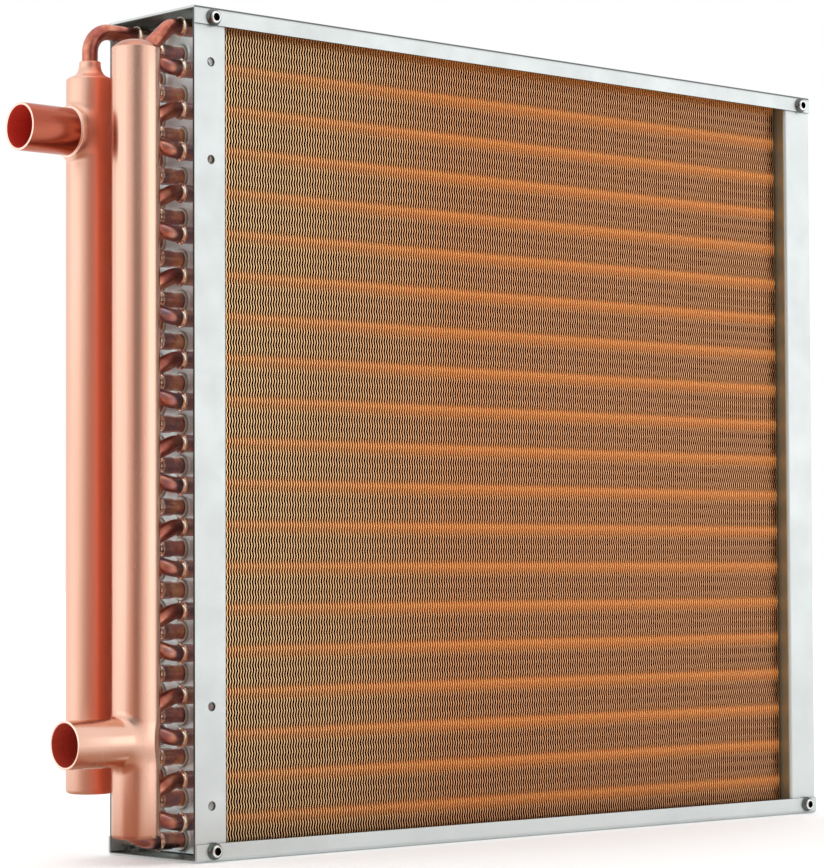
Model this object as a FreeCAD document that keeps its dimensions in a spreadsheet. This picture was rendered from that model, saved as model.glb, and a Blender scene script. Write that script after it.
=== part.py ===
import FreeCAD, Part
import os
import Sketcher

# Water-to-air heat exchanger: a finned coil in a galvanised casing, with two headers on its left end.
# X runs along the fins' width, Y through the coil from its front face to its back, Z up.
# The origin is the middle of the bottom plate's underside.

doc = FreeCAD.newDocument("water_to_air_heat_exchanger")
sheet = doc.addObject("Spreadsheet::Sheet", "Sizes")

# Driving dimensions, in millimetres, degrees and counts
SIZES = [
    ("tube_rows", 3, "rows of tubes through the coil's depth"),
    ("tubes_per_row", 20, "tubes in each row, one above another"),
    ("tube_pitch", 25, "from tube to tube in one row"),
    ("row_pitch", 21.65, "from row to row, so that neighbours stand in equal triangles"),
    ("tube_outer", 9.52, "outside diameter of the coil's tubes"),
    ("tube_wall", 0.5, "wall of the coil's tubes"),
    ("fin_count", 240, "fins in the pack"),
    ("fin_pitch", 2.1, "twelve fins to the inch"),
    ("fins_per_ridge", 2, "fins that one ridge of the joined pack stands for"),
    ("fin_slot_depth", 5, "how deep the gaps between the ridges are"),
    ("fin_end_gap", 1.7, "from the pack's end to the tube sheet"),
    ("fin_hole_clearance", 0.05, "between a tube and the pack's bore"),
    ("plate_thickness", 1.5, "galvanised sheet of all four casing pieces"),
    ("plate_bend", 1, "inside radius of the casing's folds"),
    ("plate_lip", 11, "height of the top and bottom plates' lips"),
    ("plate_gap", 2.5, "from the fins to the top and bottom plates"),
    ("side_flange", 24.8, "width of the tube sheets' flanges, web included"),
    ("face_recess", 10.6, "from the casing's front to the fins' edges"),
    ("seam_clearance", 0.1, "between a lip and the flange behind it"),
    ("sheet_end_gap", 0.8, "from a tube sheet's end to the plate over it, clear of the plate's fold"),
    ("collar_outer", 12.4, "drawn collars around the tube sheets' holes"),
    ("collar_height", 1.6, "how far the collars stand out"),
    ("sheet_hole_clearance", 0.1, "between a tube and the collar's bore"),
    ("socket_reach", 18.6, "from the left sheet's outer side to the sockets' mouths"),
    ("socket_depth", 9, "length of the belled end that takes a bend"),
    ("socket_taper", 1.5, "length of the cone behind the belled end"),
    ("socket_lip", 12, "diameter of the flared mouth"),
    ("lip_length", 1.4, "length of the flare"),
    ("braze_clearance", 0.05, "between a tube and the socket around it"),
    ("insert_depth", 8, "how deep a bend sits in its socket"),
    ("hairpin_lead", 1, "straight stretch past the right sheet's collars"),
    ("bend_lead", 1, "straight stretch of a return bend past the mouth"),
    ("header_outer", 28.575, "outside diameter of the headers, one and one eighth inch"),
    ("header_wall", 1.5, "wall of the headers"),
    ("header_rounding", 5, "radius round the front header's top end"),
    ("header_foot_rounding", 2.5, "radius round the headers' lower ends"),
    ("front_header_offset", 28.4, "from the casing's left edge to the front header's axis"),
    ("front_header_bottom", 15.2, "height of the front header's lower end"),
    ("front_header_drop", 12, "from the top tubes' axis to the front header's top"),
    ("rear_header_offset", 30, "from the casing's left edge to the rear header's axis"),
    ("rear_header_bottom", 39.5, "height of the rear header's lower end"),
    ("rear_header_drop", 30.4, "from the top tubes' axis to the rear header's shoulder"),
    ("neck_cone", 3.4, "height of the cone over the shoulder"),
    ("neck_base", 13.2, "diameter of the neck where it meets the cone"),
    ("neck_top", 11.8, "diameter of the neck's mouth"),
    ("neck_height", 7.4, "length of the neck above its cone"),
    ("top_bend_radius", 14, "bend of the rear header's top tube"),
    ("stub_lead", 2.5, "straight stretch of a stub past the mouth"),
    ("stub_radius", 12, "bend of a stub, to the tube's axis"),
    ("stub_slope", 24, "how steeply a stub falls to the front header"),
    ("rear_stub_slope", 3, "how steeply a stub falls to the rear header"),
    ("top_stub_slope", 42, "how steeply the front header's top stub falls"),
    ("port_outer", 28.575, "outside diameter of the ports"),
    ("port_wall", 1.5, "wall of the ports"),
    ("port_seat", 28.1, "diameter of a port's end inside its joint, sized down a little"),
    ("port_seat_rise", 0.5, "from a joint's edge to the port's full diameter"),
    ("port_reach", 51.5, "from a header's axis to its port's end"),
    ("front_port_height", 71.5, "height of the front port's axis"),
    ("rear_port_height", 434.5, "height of the rear port's axis"),
    ("port_collar_outer", 31.4, "diameter of the collar on the rear header"),
    ("port_collar_reach", 16.2, "from the rear header's axis to the collar's face"),
    ("port_stop", 8, "from the rear header's axis to the stop in the collar"),
    ("screw_diameter", 6, "button-head screws, M6"),
    ("screw_hole", 6.6, "clearance holes for them"),
    ("screw_head", 10.5, "diameter of the screw's head"),
    ("screw_head_height", 3.3, "height of the screw's head"),
    ("screw_head_flat", 5.8, "diameter of the flat on the head"),
    ("screw_length", 12, "length under the head"),
    ("hex_key", 4, "width across the flats of the socket in the head"),
    ("hex_depth", 2, "depth of the socket"),
    ("nut_width", 10, "width across the flats of the nuts"),
    ("nut_height", 5, "height of the nuts"),
    ("nut_clearance", 0.05, "between a nut and its screw, and between a nut and the sheet"),
    ("left_screw_inset", 13.3, "from the casing's left edge to the screws"),
    ("right_screw_inset", 10, "from the casing's right edge to the screws"),
    ("screw_rise", 6.5, "from the casing's top and bottom to the screws"),
    ("flange_hole", 4.8, "diameter of the holes in the left flanges"),
    ("flange_hole_inset", 12.7, "from the casing's left edge to those holes"),
    ("outer_hole_spacing", 442, "between the uppermost and lowermost flange holes"),
    ("inner_hole_spacing", 325, "between the two inner flange holes"),
]
for line_number, (alias, number, meaning) in enumerate(SIZES, start=1):
    sheet.set(f"A{line_number}", alias)
    sheet.set(f"B{line_number}", str(number))
    sheet.set(f"C{line_number}", meaning)
    sheet.setAlias(f"B{line_number}", alias)
doc.recompute()

# Sizes that follow from the driving ones
FIN_LENGTH = "(Sizes.fin_count * Sizes.fin_pitch)"
FIN_DEPTH = "(Sizes.tube_rows * Sizes.row_pitch)"
FIN_HEIGHT = "(Sizes.tubes_per_row * Sizes.tube_pitch)"
HALF_WIDTH = f"({FIN_LENGTH} / 2 + Sizes.fin_end_gap + Sizes.side_flange)"
HALF_DEPTH = f"({FIN_DEPTH} / 2 + Sizes.face_recess)"
HEIGHT = f"({FIN_HEIGHT} + 2 * Sizes.plate_gap + 2 * Sizes.plate_thickness)"
FIN_BOTTOM = "(Sizes.plate_thickness + Sizes.plate_gap)"
TUBE_RADIUS = "(Sizes.tube_outer / 2)"
BORE_RADIUS = "(Sizes.tube_outer / 2 - Sizes.tube_wall)"
WEB_INNER = f"({HALF_WIDTH} - Sizes.side_flange)"
WEB_OUTER = f"({WEB_INNER} + Sizes.plate_thickness)"
SHEET_HALF_DEPTH = f"({HALF_DEPTH} - Sizes.plate_thickness - Sizes.seam_clearance)"
SHEET_BOTTOM = "(Sizes.plate_thickness + Sizes.sheet_end_gap)"
SHEET_TOP = f"({HEIGHT} - {SHEET_BOTTOM})"
MOUTH = f"(-{WEB_OUTER} - Sizes.socket_reach)"
LEFT_SCREWS = f"(-{HALF_WIDTH} + Sizes.left_screw_inset)"
RIGHT_SCREWS = f"({HALF_WIDTH} - Sizes.right_screw_inset)"
TOP_TUBE = f"({FIN_BOTTOM} + {FIN_HEIGHT} - Sizes.tube_pitch / 4)"
FRONT_ROW = "(-(Sizes.tube_rows - 1) / 2 * Sizes.row_pitch)"
FRONT_HEADER_X = f"(-{HALF_WIDTH} - Sizes.front_header_offset)"
REAR_HEADER_X = f"(-{HALF_WIDTH} - Sizes.rear_header_offset)"
HEADER_RADIUS = "(Sizes.header_outer / 2)"
HEADER_BORE = "(Sizes.header_outer / 2 - Sizes.header_wall)"
PORT_RADIUS = "(Sizes.port_outer / 2)"
PORT_BORE = "(Sizes.port_outer / 2 - Sizes.port_wall)"


def size(expression):
    """The number that an expression on the sheet gives."""
    result = sheet.evalExpression(expression)
    return float(getattr(result, "Value", result))


def bind(thing, prop, expression):
    """Ties a property of an object to an expression on the sheet."""
    thing.setExpression(prop, expression)


def new_body(label):
    """An empty sub-part under its own name."""
    body = doc.addObject("PartDesign::Body", label)
    body.Label = label
    return body


def origin_part(body, role):
    """A plane or axis of a body's own origin."""
    return next(part for part in body.Origin.OriginFeatures if part.Role == role)


def new_sketch(body, name, plane, offset=None):
    """A sketch on one of the body's own planes, moved along the plane's normal by an expression."""
    sketch = body.newObject("Sketcher::SketchObject", f"{body.Name}_{name}")
    sketch.AttachmentSupport = (origin_part(body, plane), [""])
    sketch.MapMode = "FlatFace"
    if offset:
        bind(sketch, "AttachmentOffset.Base.z", offset)
        sketch.recompute()
    return sketch


def place(sketch, geometry, point, across, up=None):
    """Fixes a point of a sketch's geometry at bound distances from the sketch's origin."""
    for kind, expression in (("DistanceX", across), ("DistanceY", up)):
        if expression is not None:
            rule = Sketcher.Constraint(kind, -1, 1, geometry, point, size(expression))
            bind(sketch, f"Constraints[{sketch.addConstraint(rule)}]", expression)


def draw_outline(sketch, corners):
    """A closed outline of straight lines through corners given as pairs of expressions."""
    first = sketch.GeometryCount
    count = len(corners)
    spots = [FreeCAD.Vector(size(across), size(up), 0) for across, up in corners]
    for index in range(count):
        sketch.addGeometry(Part.LineSegment(spots[index], spots[(index + 1) % count]), False)
    for index in range(count):
        following = first + (index + 1) % count
        sketch.addConstraint(Sketcher.Constraint("Coincident", first + index, 2, following, 1))
        place(sketch, first + index, 1, *corners[index])


def draw_circle(sketch, across, up, radius):
    """A circle whose centre and radius are expressions."""
    centre = FreeCAD.Vector(size(across), size(up), 0)
    circle = sketch.addGeometry(Part.Circle(centre, FreeCAD.Vector(0, 0, 1), size(radius)), False)
    place(sketch, circle, 3, across, up)
    rule = Sketcher.Constraint("Radius", circle, size(radius))
    bind(sketch, f"Constraints[{sketch.addConstraint(rule)}]", radius)


def draw_row_circles(sketch, radius):
    """A circle round the top tube of every row; the middle row stands half a pitch lower."""
    for row in range(int(size("Sizes.tube_rows"))):
        across = f"({FRONT_ROW} + {row} * Sizes.row_pitch)"
        draw_circle(sketch, across, f"({TOP_TUBE} - {0.5 * (row % 2)} * Sizes.tube_pitch)", radius)


def draw_path(sketch, points, arc_step, centre, turn):
    """A chain of lines through points, with one step of it an arc round a centre.

    turn is +1 where the arc runs anticlockwise in the sketch and -1 where it runs clockwise.
    """
    spots = [FreeCAD.Vector(size(across), size(up), 0) for across, up in points]
    middle = FreeCAD.Vector(size(centre[0]), size(centre[1]), 0)
    previous = None
    for step in range(len(points) - 1):
        start_point, end_point = 1, 2
        if step == arc_step:
            ends = [(spots[step + shift] - middle) for shift in (0, 1)]
            angles = [FreeCAD.Vector(1, 0, 0).getAngle(end) * (1 if end.y >= 0 else -1) for end in ends]
            if turn < 0:
                angles.reverse()
                start_point, end_point = 2, 1
            circle = Part.Circle(middle, FreeCAD.Vector(0, 0, 1), ends[0].Length)
            piece = sketch.addGeometry(Part.ArcOfCircle(circle, *angles), False)
        else:
            piece = sketch.addGeometry(Part.LineSegment(spots[step], spots[step + 1]), False)
        if previous is None:
            place(sketch, piece, start_point, *points[step])
        else:
            sketch.addConstraint(Sketcher.Constraint("Coincident", *previous, piece, start_point))
        place(sketch, piece, end_point, *points[step + 1])
        if step == arc_step:
            place(sketch, piece, 3, centre[0])
        previous = (piece, end_point)


def pad(body, sketch, name, length, reverse=False, both_ways=False):
    """Adds the sketch's area pushed along its normal."""
    feature = body.newObject("PartDesign::Pad", f"{body.Name}_{name}")
    feature.Profile = sketch
    feature.Midplane = both_ways
    feature.Reversed = reverse
    bind(feature, "Length", length)
    return feature


def cut_through(body, sketch, name):
    """Cuts the sketch's area through the whole body, both ways."""
    feature = body.newObject("PartDesign::Pocket", f"{body.Name}_{name}")
    feature.Profile = sketch
    feature.Type = "ThroughAll"
    feature.Midplane = True
    return feature


def cut_to_depth(body, sketch, name, depth, reverse=False):
    """Cuts the sketch's area to a depth against its normal, or along it when reversed."""
    feature = body.newObject("PartDesign::Pocket", f"{body.Name}_{name}")
    feature.Profile = sketch
    feature.Reversed = reverse
    bind(feature, "Length", depth)
    return feature


def sweep(body, kind, name, profile, path):
    """Carries a profile along a path; kind is Additive or Subtractive."""
    feature = body.newObject(f"PartDesign::{kind}Pipe", f"{body.Name}_{name}")
    feature.Profile = profile
    feature.Spine = path
    return feature


def turn_about(body, kind, name, sketch, axis):
    """Turns a sketch's area all the way round an axis; kind is Revolution or Groove."""
    feature = body.newObject(f"PartDesign::{kind}", f"{body.Name}_{name}")
    feature.Profile = sketch
    feature.ReferenceAxis = axis
    feature.Angle = 360
    return feature


def repeat(body, name, originals, axis, length, count, reverse=False):
    """Repeats features along one of the body's axes."""
    feature = body.newObject("PartDesign::LinearPattern", f"{body.Name}_{name}")
    feature.Originals = originals
    feature.Direction = (origin_part(body, axis), [""])
    feature.Reversed = reverse
    bind(feature, "Length", length)
    bind(feature, "Occurrences", count)
    body.Tip = feature
    return feature


def repeat_down_rows(body, name, feature):
    """Repeats a feature made at the top tubes at every tube below them."""
    drop = "((Sizes.tubes_per_row - 1) * Sizes.tube_pitch)"
    return repeat(body, name, [feature], "Z_Axis", drop, "Sizes.tubes_per_row", reverse=True)


def mirror(body, name, originals, plane):
    """Repeats features on the other side of one of the body's planes."""
    feature = body.newObject("PartDesign::Mirrored", f"{body.Name}_{name}")
    feature.Originals = originals
    feature.MirrorPlane = (origin_part(body, plane), [""])
    body.Tip = feature
    return feature


def round_edges(body, base, name, chosen, radius):
    """Rounds the edges of a feature that a test picks out."""
    doc.recompute()
    names = [f"Edge{number}" for number, edge in enumerate(base.Shape.Edges, start=1) if chosen(edge)]
    feature = body.newObject("PartDesign::Fillet", f"{body.Name}_{name}")
    feature.Base = (base, names)
    bind(feature, "Radius", radius)
    return feature


def passes(edge, across, up, first, second):
    """Whether an edge runs straight along the third axis past a spot of the other two."""
    return all(
        abs(getattr(vertex.Point, first) - across) < 1e-4 and abs(getattr(vertex.Point, second) - up) < 1e-4
        for vertex in edge.Vertexes
    )


# Top and bottom plates: each a sheet folded to a shallow channel, lips over the tube sheets' flanges
OUTER_FOLD = "Sizes.plate_bend + Sizes.plate_thickness"


def make_plate(label, web_outside, inward):
    """A channel along X whose web lies at web_outside and whose lips point inward (+1 is up)."""
    body = new_body(label)
    inner = f"({HALF_DEPTH} - Sizes.plate_thickness)"
    web_inside = f"({web_outside} + {inward} * Sizes.plate_thickness)"
    lip_end = f"({web_outside} + {inward} * Sizes.plate_lip)"
    outline = new_sketch(body, "section", "YZ_Plane")
    draw_outline(outline, [
        (f"-{HALF_DEPTH}", web_outside), (HALF_DEPTH, web_outside), (HALF_DEPTH, lip_end),
        (inner, lip_end), (inner, web_inside), (f"-{inner}", web_inside),
        (f"-{inner}", lip_end), (f"-{HALF_DEPTH}", lip_end),
    ])
    folded = pad(body, outline, "channel", f"2 * {HALF_WIDTH}", both_ways=True)
    outside = round_edges(
        body, folded, "outer_folds",
        lambda edge: any(passes(edge, side * size(HALF_DEPTH), size(web_outside), "y", "z") for side in (-1, 1)),
        OUTER_FOLD)
    round_edges(
        body, outside, "inner_folds",
        lambda edge: any(passes(edge, side * size(inner), size(web_inside), "y", "z") for side in (-1, 1)),
        "Sizes.plate_bend")
    holes = new_sketch(body, "screw_holes_at", "XZ_Plane")
    for across in (LEFT_SCREWS, RIGHT_SCREWS):
        draw_circle(holes, across, f"{web_outside} + {inward} * Sizes.screw_rise", "Sizes.screw_hole / 2")
    cut_through(body, holes, "screw_holes")
    return body


# Tube sheets: webs with a drawn collar round every tube, and flanges folded outwards
def make_tube_sheet(label, side):
    """A U-shaped sheet; side is -1 for the left one and +1 for the right one."""
    body = new_body(label)
    inner_depth = f"({SHEET_HALF_DEPTH} - Sizes.plate_thickness)"
    edge = f"{side} * {HALF_WIDTH}"
    web_inside = f"{side} * {WEB_INNER}"
    web_outside = f"{side} * {WEB_OUTER}"
    bore = f"({TUBE_RADIUS} + Sizes.sheet_hole_clearance)"
    web_at = new_sketch(body, "web_at", "YZ_Plane", web_inside)
    draw_outline(web_at, [
        (f"-{SHEET_HALF_DEPTH}", SHEET_BOTTOM), (SHEET_HALF_DEPTH, SHEET_BOTTOM),
        (SHEET_HALF_DEPTH, SHEET_TOP), (f"-{SHEET_HALF_DEPTH}", SHEET_TOP),
    ])
    pad(body, web_at, "web", "Sizes.plate_thickness", reverse=side < 0)
    flanges_at = new_sketch(body, "flanges_at", "XY_Plane", SHEET_BOTTOM)
    for way in ("-", ""):
        draw_outline(flanges_at, [
            (edge, f"{way}{SHEET_HALF_DEPTH}"), (web_outside, f"{way}{SHEET_HALF_DEPTH}"),
            (web_outside, f"{way}{inner_depth}"), (edge, f"{way}{inner_depth}"),
        ])
    folded = pad(body, flanges_at, "flanges", f"{SHEET_TOP} - {SHEET_BOTTOM}")
    outside = round_edges(
        body, folded, "outer_folds",
        lambda edge: any(passes(edge, size(web_inside), way * size(SHEET_HALF_DEPTH), "x", "y") for way in (-1, 1)),
        OUTER_FOLD)
    round_edges(
        body, outside, "inner_folds",
        lambda edge: any(passes(edge, size(web_outside), way * size(inner_depth), "x", "y") for way in (-1, 1)),
        "Sizes.plate_bend")
    collars_at = new_sketch(body, "collars_at", "YZ_Plane", web_outside)
    draw_row_circles(collars_at, "Sizes.collar_outer / 2")
    collar = pad(body, collars_at, "collar", "Sizes.collar_height", reverse=side < 0)
    repeat_down_rows(body, "collars", collar)
    bores_at = new_sketch(body, "tube_holes_at", "YZ_Plane", f"({web_outside} + {side} * Sizes.collar_height)")
    draw_row_circles(bores_at, bore)
    bore_depth = "(Sizes.plate_thickness + Sizes.collar_height)"
    hole = cut_to_depth(body, bores_at, "tube_hole", bore_depth, reverse=side < 0)
    repeat_down_rows(body, "tube_holes", hole)
    holes = new_sketch(body, "screw_holes_at", "XZ_Plane")
    for up in ("Sizes.screw_rise", f"{HEIGHT} - Sizes.screw_rise"):
        draw_circle(holes, LEFT_SCREWS if side < 0 else RIGHT_SCREWS, up, "Sizes.screw_hole / 2")
    if side < 0:
        for spacing in ("Sizes.outer_hole_spacing", "Sizes.inner_hole_spacing"):
            for way in (-1, 1):
                draw_circle(
                    holes, f"-({HALF_WIDTH} - Sizes.flange_hole_inset)", f"{HEIGHT} / 2 + {way} * {spacing} / 2",
                    "Sizes.flange_hole / 2")
    cut_through(body, holes, "flange_holes")
    return body


# Fin pack: the fins joined into one block, with ridges at the front and back for their edges
def make_fin_pack():
    """The block, the gaps between its ridges, and a bore for every tube."""
    body = new_body("fin_pack")
    half_length = f"({FIN_LENGTH} / 2)"
    half_depth = f"({FIN_DEPTH} / 2)"
    outline = new_sketch(body, "block_at", "YZ_Plane")
    draw_outline(outline, [
        (f"-{half_depth}", FIN_BOTTOM), (half_depth, FIN_BOTTOM),
        (half_depth, f"({FIN_BOTTOM} + {FIN_HEIGHT})"), (f"-{half_depth}", f"({FIN_BOTTOM} + {FIN_HEIGHT})"),
    ])
    pad(body, outline, "block", FIN_LENGTH, both_ways=True)
    bores_at = new_sketch(body, "bores_at", "YZ_Plane")
    draw_row_circles(bores_at, f"({TUBE_RADIUS} + Sizes.fin_hole_clearance)")
    bore = cut_through(body, bores_at, "bore")
    repeat_down_rows(body, "bores", bore)
    ridge_pitch = "(Sizes.fin_pitch * Sizes.fins_per_ridge)"
    gaps = new_sketch(body, "gaps_at", "XY_Plane")
    near = f"(-{half_length} + {ridge_pitch} * 3 / 4)"
    far = f"(-{half_length} + {ridge_pitch} * 5 / 4)"
    for way in ("-", ""):
        mouth = f"{way}({half_depth} + Sizes.fin_slot_depth)"
        floor = f"{way}({half_depth} - Sizes.fin_slot_depth)"
        draw_outline(gaps, [(near, mouth), (far, mouth), (far, floor), (near, floor)])
    gap = cut_through(body, gaps, "gap")
    repeat(
        body, "gaps", [gap], "X_Axis", f"({FIN_LENGTH} - 2 * {ridge_pitch})",
        "Sizes.fin_count / Sizes.fins_per_ridge - 1")
    return body


# Hairpin tubes: one bent tube for two passes, its free ends belled to take bends or stubs
def make_hairpin(label, row, number):
    """The hairpin that joins two neighbouring tubes of one row, counted from the top."""
    body = new_body(label)
    upper = "(Sizes.tube_pitch / 2)"
    bell = f"({MOUTH} + Sizes.socket_depth + Sizes.socket_taper)"
    turn_start = f"({WEB_OUTER} + Sizes.collar_height + Sizes.hairpin_lead)"
    path = new_sketch(body, "path", "XZ_Plane")
    draw_path(
        path, [(bell, upper), (turn_start, upper), (turn_start, f"-{upper}"), (bell, f"-{upper}")],
        arc_step=1, centre=(turn_start, "0"), turn=-1)
    ring = new_sketch(body, "ring", "YZ_Plane", bell)
    draw_circle(ring, "0", upper, TUBE_RADIUS)
    draw_circle(ring, "0", upper, BORE_RADIUS)
    sweep(body, "Additive", "tube", ring, path)
    inside = f"({TUBE_RADIUS} + Sizes.braze_clearance)"
    outside = f"({inside} + Sizes.tube_wall)"
    flare = f"({MOUTH} + Sizes.lip_length)"
    belled = f"({MOUTH} + Sizes.socket_depth)"
    section = new_sketch(body, "bell_section", "XZ_Plane")
    draw_outline(section, [
        (across, f"{upper} + {radius}") for across, radius in (
            (bell, BORE_RADIUS), (bell, TUBE_RADIUS), (belled, outside), (flare, outside),
            (MOUTH, "Sizes.socket_lip / 2"), (MOUTH, "(Sizes.socket_lip / 2 - Sizes.tube_wall)"),
            (flare, inside), (belled, inside))
    ])
    axis = sketch_axis(section, MOUTH, bell, upper)
    socket = turn_about(body, "Revolution", "socket", section, axis)
    mirror(body, "sockets", [socket], "XY_Plane")
    stagger = 0.5 * (row % 2)
    bind(body, "Placement.Base.y", f"{FRONT_ROW} + {row} * Sizes.row_pitch")
    bind(body, "Placement.Base.z", f"{TOP_TUBE} - ({stagger} + 2 * {number} + 0.5) * Sizes.tube_pitch")
    return body


def sketch_axis(sketch, start, end, up):
    """A construction line along the sketch's first axis, to turn the sketch about."""
    spots = [FreeCAD.Vector(size(across), size(up), 0) for across in (start, end)]
    line = sketch.addGeometry(Part.LineSegment(*spots), True)
    place(sketch, line, 1, start, up)
    place(sketch, line, 2, end, up)
    return (sketch, ["Axis0"])


# Return bends: half circles of tube brazed into the sockets of two rows
BEND_SPAN = "sqrt(Sizes.row_pitch ^ 2 + Sizes.tube_pitch ^ 2 / 4)"


def make_return_bend(label, row, number):
    """The bend from a tube of one row up to its neighbour in the row behind."""
    body = new_body(label)
    inner_end = f"({MOUTH} + Sizes.insert_depth)"
    turn_start = f"({MOUTH} - Sizes.bend_lead)"
    half_span = f"({BEND_SPAN} / 2)"
    path = new_sketch(body, "path", "XY_Plane")
    draw_path(
        path, [(inner_end, half_span), (turn_start, half_span), (turn_start, f"-{half_span}"),
               (inner_end, f"-{half_span}")],
        arc_step=1, centre=(turn_start, "0"), turn=1)
    ring = new_sketch(body, "ring", "YZ_Plane", inner_end)
    draw_circle(ring, half_span, "0", TUBE_RADIUS)
    draw_circle(ring, half_span, "0", BORE_RADIUS)
    sweep(body, "Additive", "tube", ring, path)
    lower = 2 * number + 1 + 0.5 * (row % 2)
    body.Placement = FreeCAD.Placement(FreeCAD.Vector(), FreeCAD.Rotation(FreeCAD.Vector(1, 0, 0), 30))
    bind(body, "Placement.Rotation.Angle", "atan(Sizes.tube_pitch / 2 / Sizes.row_pitch)")
    bind(body, "Placement.Base.y", f"{FRONT_ROW} + ({row} + 0.5) * Sizes.row_pitch")
    bind(body, "Placement.Base.z", f"{TOP_TUBE} - ({lower} - 0.25) * Sizes.tube_pitch")
    return body


# Headers: closed copper tubes that feed and empty every other tube of the outer rows through stubs
def stub_path(header_x, slope, drop):
    """Points and arc centre of a stub, from its end in the socket down to the header's axis."""
    socket_end = f"({MOUTH} + Sizes.insert_depth - {header_x})"
    bend_start = f"({MOUTH} - Sizes.stub_lead - {header_x})"
    bend_end = f"({bend_start} - Sizes.stub_radius * sin({slope}))"
    level = f"({TOP_TUBE} - {drop})"
    bend_drop = f"({level} - Sizes.stub_radius * (1 - cos({slope})))"
    at_axis = f"({bend_drop} - {bend_end} * tan({slope}))"
    points = [(socket_end, level), (bend_start, level), (bend_end, bend_drop), ("0", at_axis)]
    return points, (bend_start, f"({level} - Sizes.stub_radius)")


def add_stub(body, name, header_x, slope, drop, kind, radius):
    """Adds a stub's rod, or cuts its bore."""
    points, centre = stub_path(header_x, slope, drop)
    path = new_sketch(body, f"{name}_path", "XZ_Plane")
    draw_path(path, points, arc_step=1, centre=centre, turn=1)
    disc = new_sketch(body, f"{name}_disc", "YZ_Plane", points[0][0])
    draw_circle(disc, "0", points[0][1], radius)
    return sweep(body, kind, name, disc, path)


SLOPE = "(Sizes.stub_slope * 1 deg)"
TOP_SLOPE = "(Sizes.top_stub_slope * 1 deg)"
REAR_SLOPE = "(Sizes.rear_stub_slope * 1 deg)"
LOWER_STUBS = "(Sizes.tubes_per_row / 2 - 1)"
STUB_RUN = f"(2 * Sizes.tube_pitch * ({LOWER_STUBS} - 1))"


def round_foot(body, shell, bottom):
    """Rounds a header's lower end."""
    return round_edges(
        body, shell, "closed_foot",
        lambda edge: edge.isClosed() and abs(edge.BoundBox.ZMax - size(f"Sizes.{bottom}")) < 1e-4,
        "Sizes.header_foot_rounding")


def make_front_header():
    """The header in line with the front row, with ten stubs and the opening for its port."""
    body = new_body("front_header")
    top = f"({TOP_TUBE} - Sizes.front_header_drop)"
    shell_at = new_sketch(body, "shell_at", "XY_Plane", "Sizes.front_header_bottom")
    draw_circle(shell_at, "0", "0", HEADER_RADIUS)
    shell = pad(body, shell_at, "shell", f"{top} - Sizes.front_header_bottom")
    foot = round_foot(body, shell, "front_header_bottom")
    round_edges(
        body, foot, "closed_top",
        lambda edge: edge.isClosed() and abs(edge.BoundBox.ZMin - size(top)) < 1e-4,
        "Sizes.header_rounding")
    rod = add_stub(body, "stub", FRONT_HEADER_X, SLOPE, "2 * Sizes.tube_pitch", "Additive", TUBE_RADIUS)
    repeat(body, "stubs", [rod], "Z_Axis", STUB_RUN, LOWER_STUBS, reverse=True)
    add_stub(body, "top_stub", FRONT_HEADER_X, TOP_SLOPE, "0", "Additive", TUBE_RADIUS)
    cavity_at = new_sketch(body, "cavity_at", "XZ_Plane")
    floor = "(Sizes.front_header_bottom + Sizes.header_wall)"
    ceiling = f"({top} - Sizes.header_wall)"
    draw_outline(cavity_at, [
        ("0", floor), (f"{HEADER_BORE} - Sizes.header_foot_rounding", floor),
        (HEADER_BORE, f"{floor} + Sizes.header_foot_rounding"),
        (HEADER_BORE, f"{ceiling} - Sizes.header_rounding"),
        (f"{HEADER_BORE} - Sizes.header_rounding", ceiling), ("0", ceiling),
    ])
    turn_about(body, "Groove", "cavity", cavity_at, (origin_part(body, "Z_Axis"), [""]))
    bore = add_stub(body, "stub_bore", FRONT_HEADER_X, SLOPE, "2 * Sizes.tube_pitch", "Subtractive", BORE_RADIUS)
    repeat(body, "stub_bores", [bore], "Z_Axis", STUB_RUN, LOWER_STUBS, reverse=True)
    add_stub(body, "top_stub_bore", FRONT_HEADER_X, TOP_SLOPE, "0", "Subtractive", BORE_RADIUS)
    opening_at = new_sketch(body, "port_opening_at", "YZ_Plane")
    draw_circle(opening_at, "0", "Sizes.front_port_height", PORT_BORE)
    cut_to_depth(body, opening_at, "port_opening", f"{HEADER_RADIUS} + 1")
    bind(body, "Placement.Base.x", FRONT_HEADER_X)
    bind(body, "Placement.Base.y", FRONT_ROW)
    return body


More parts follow.
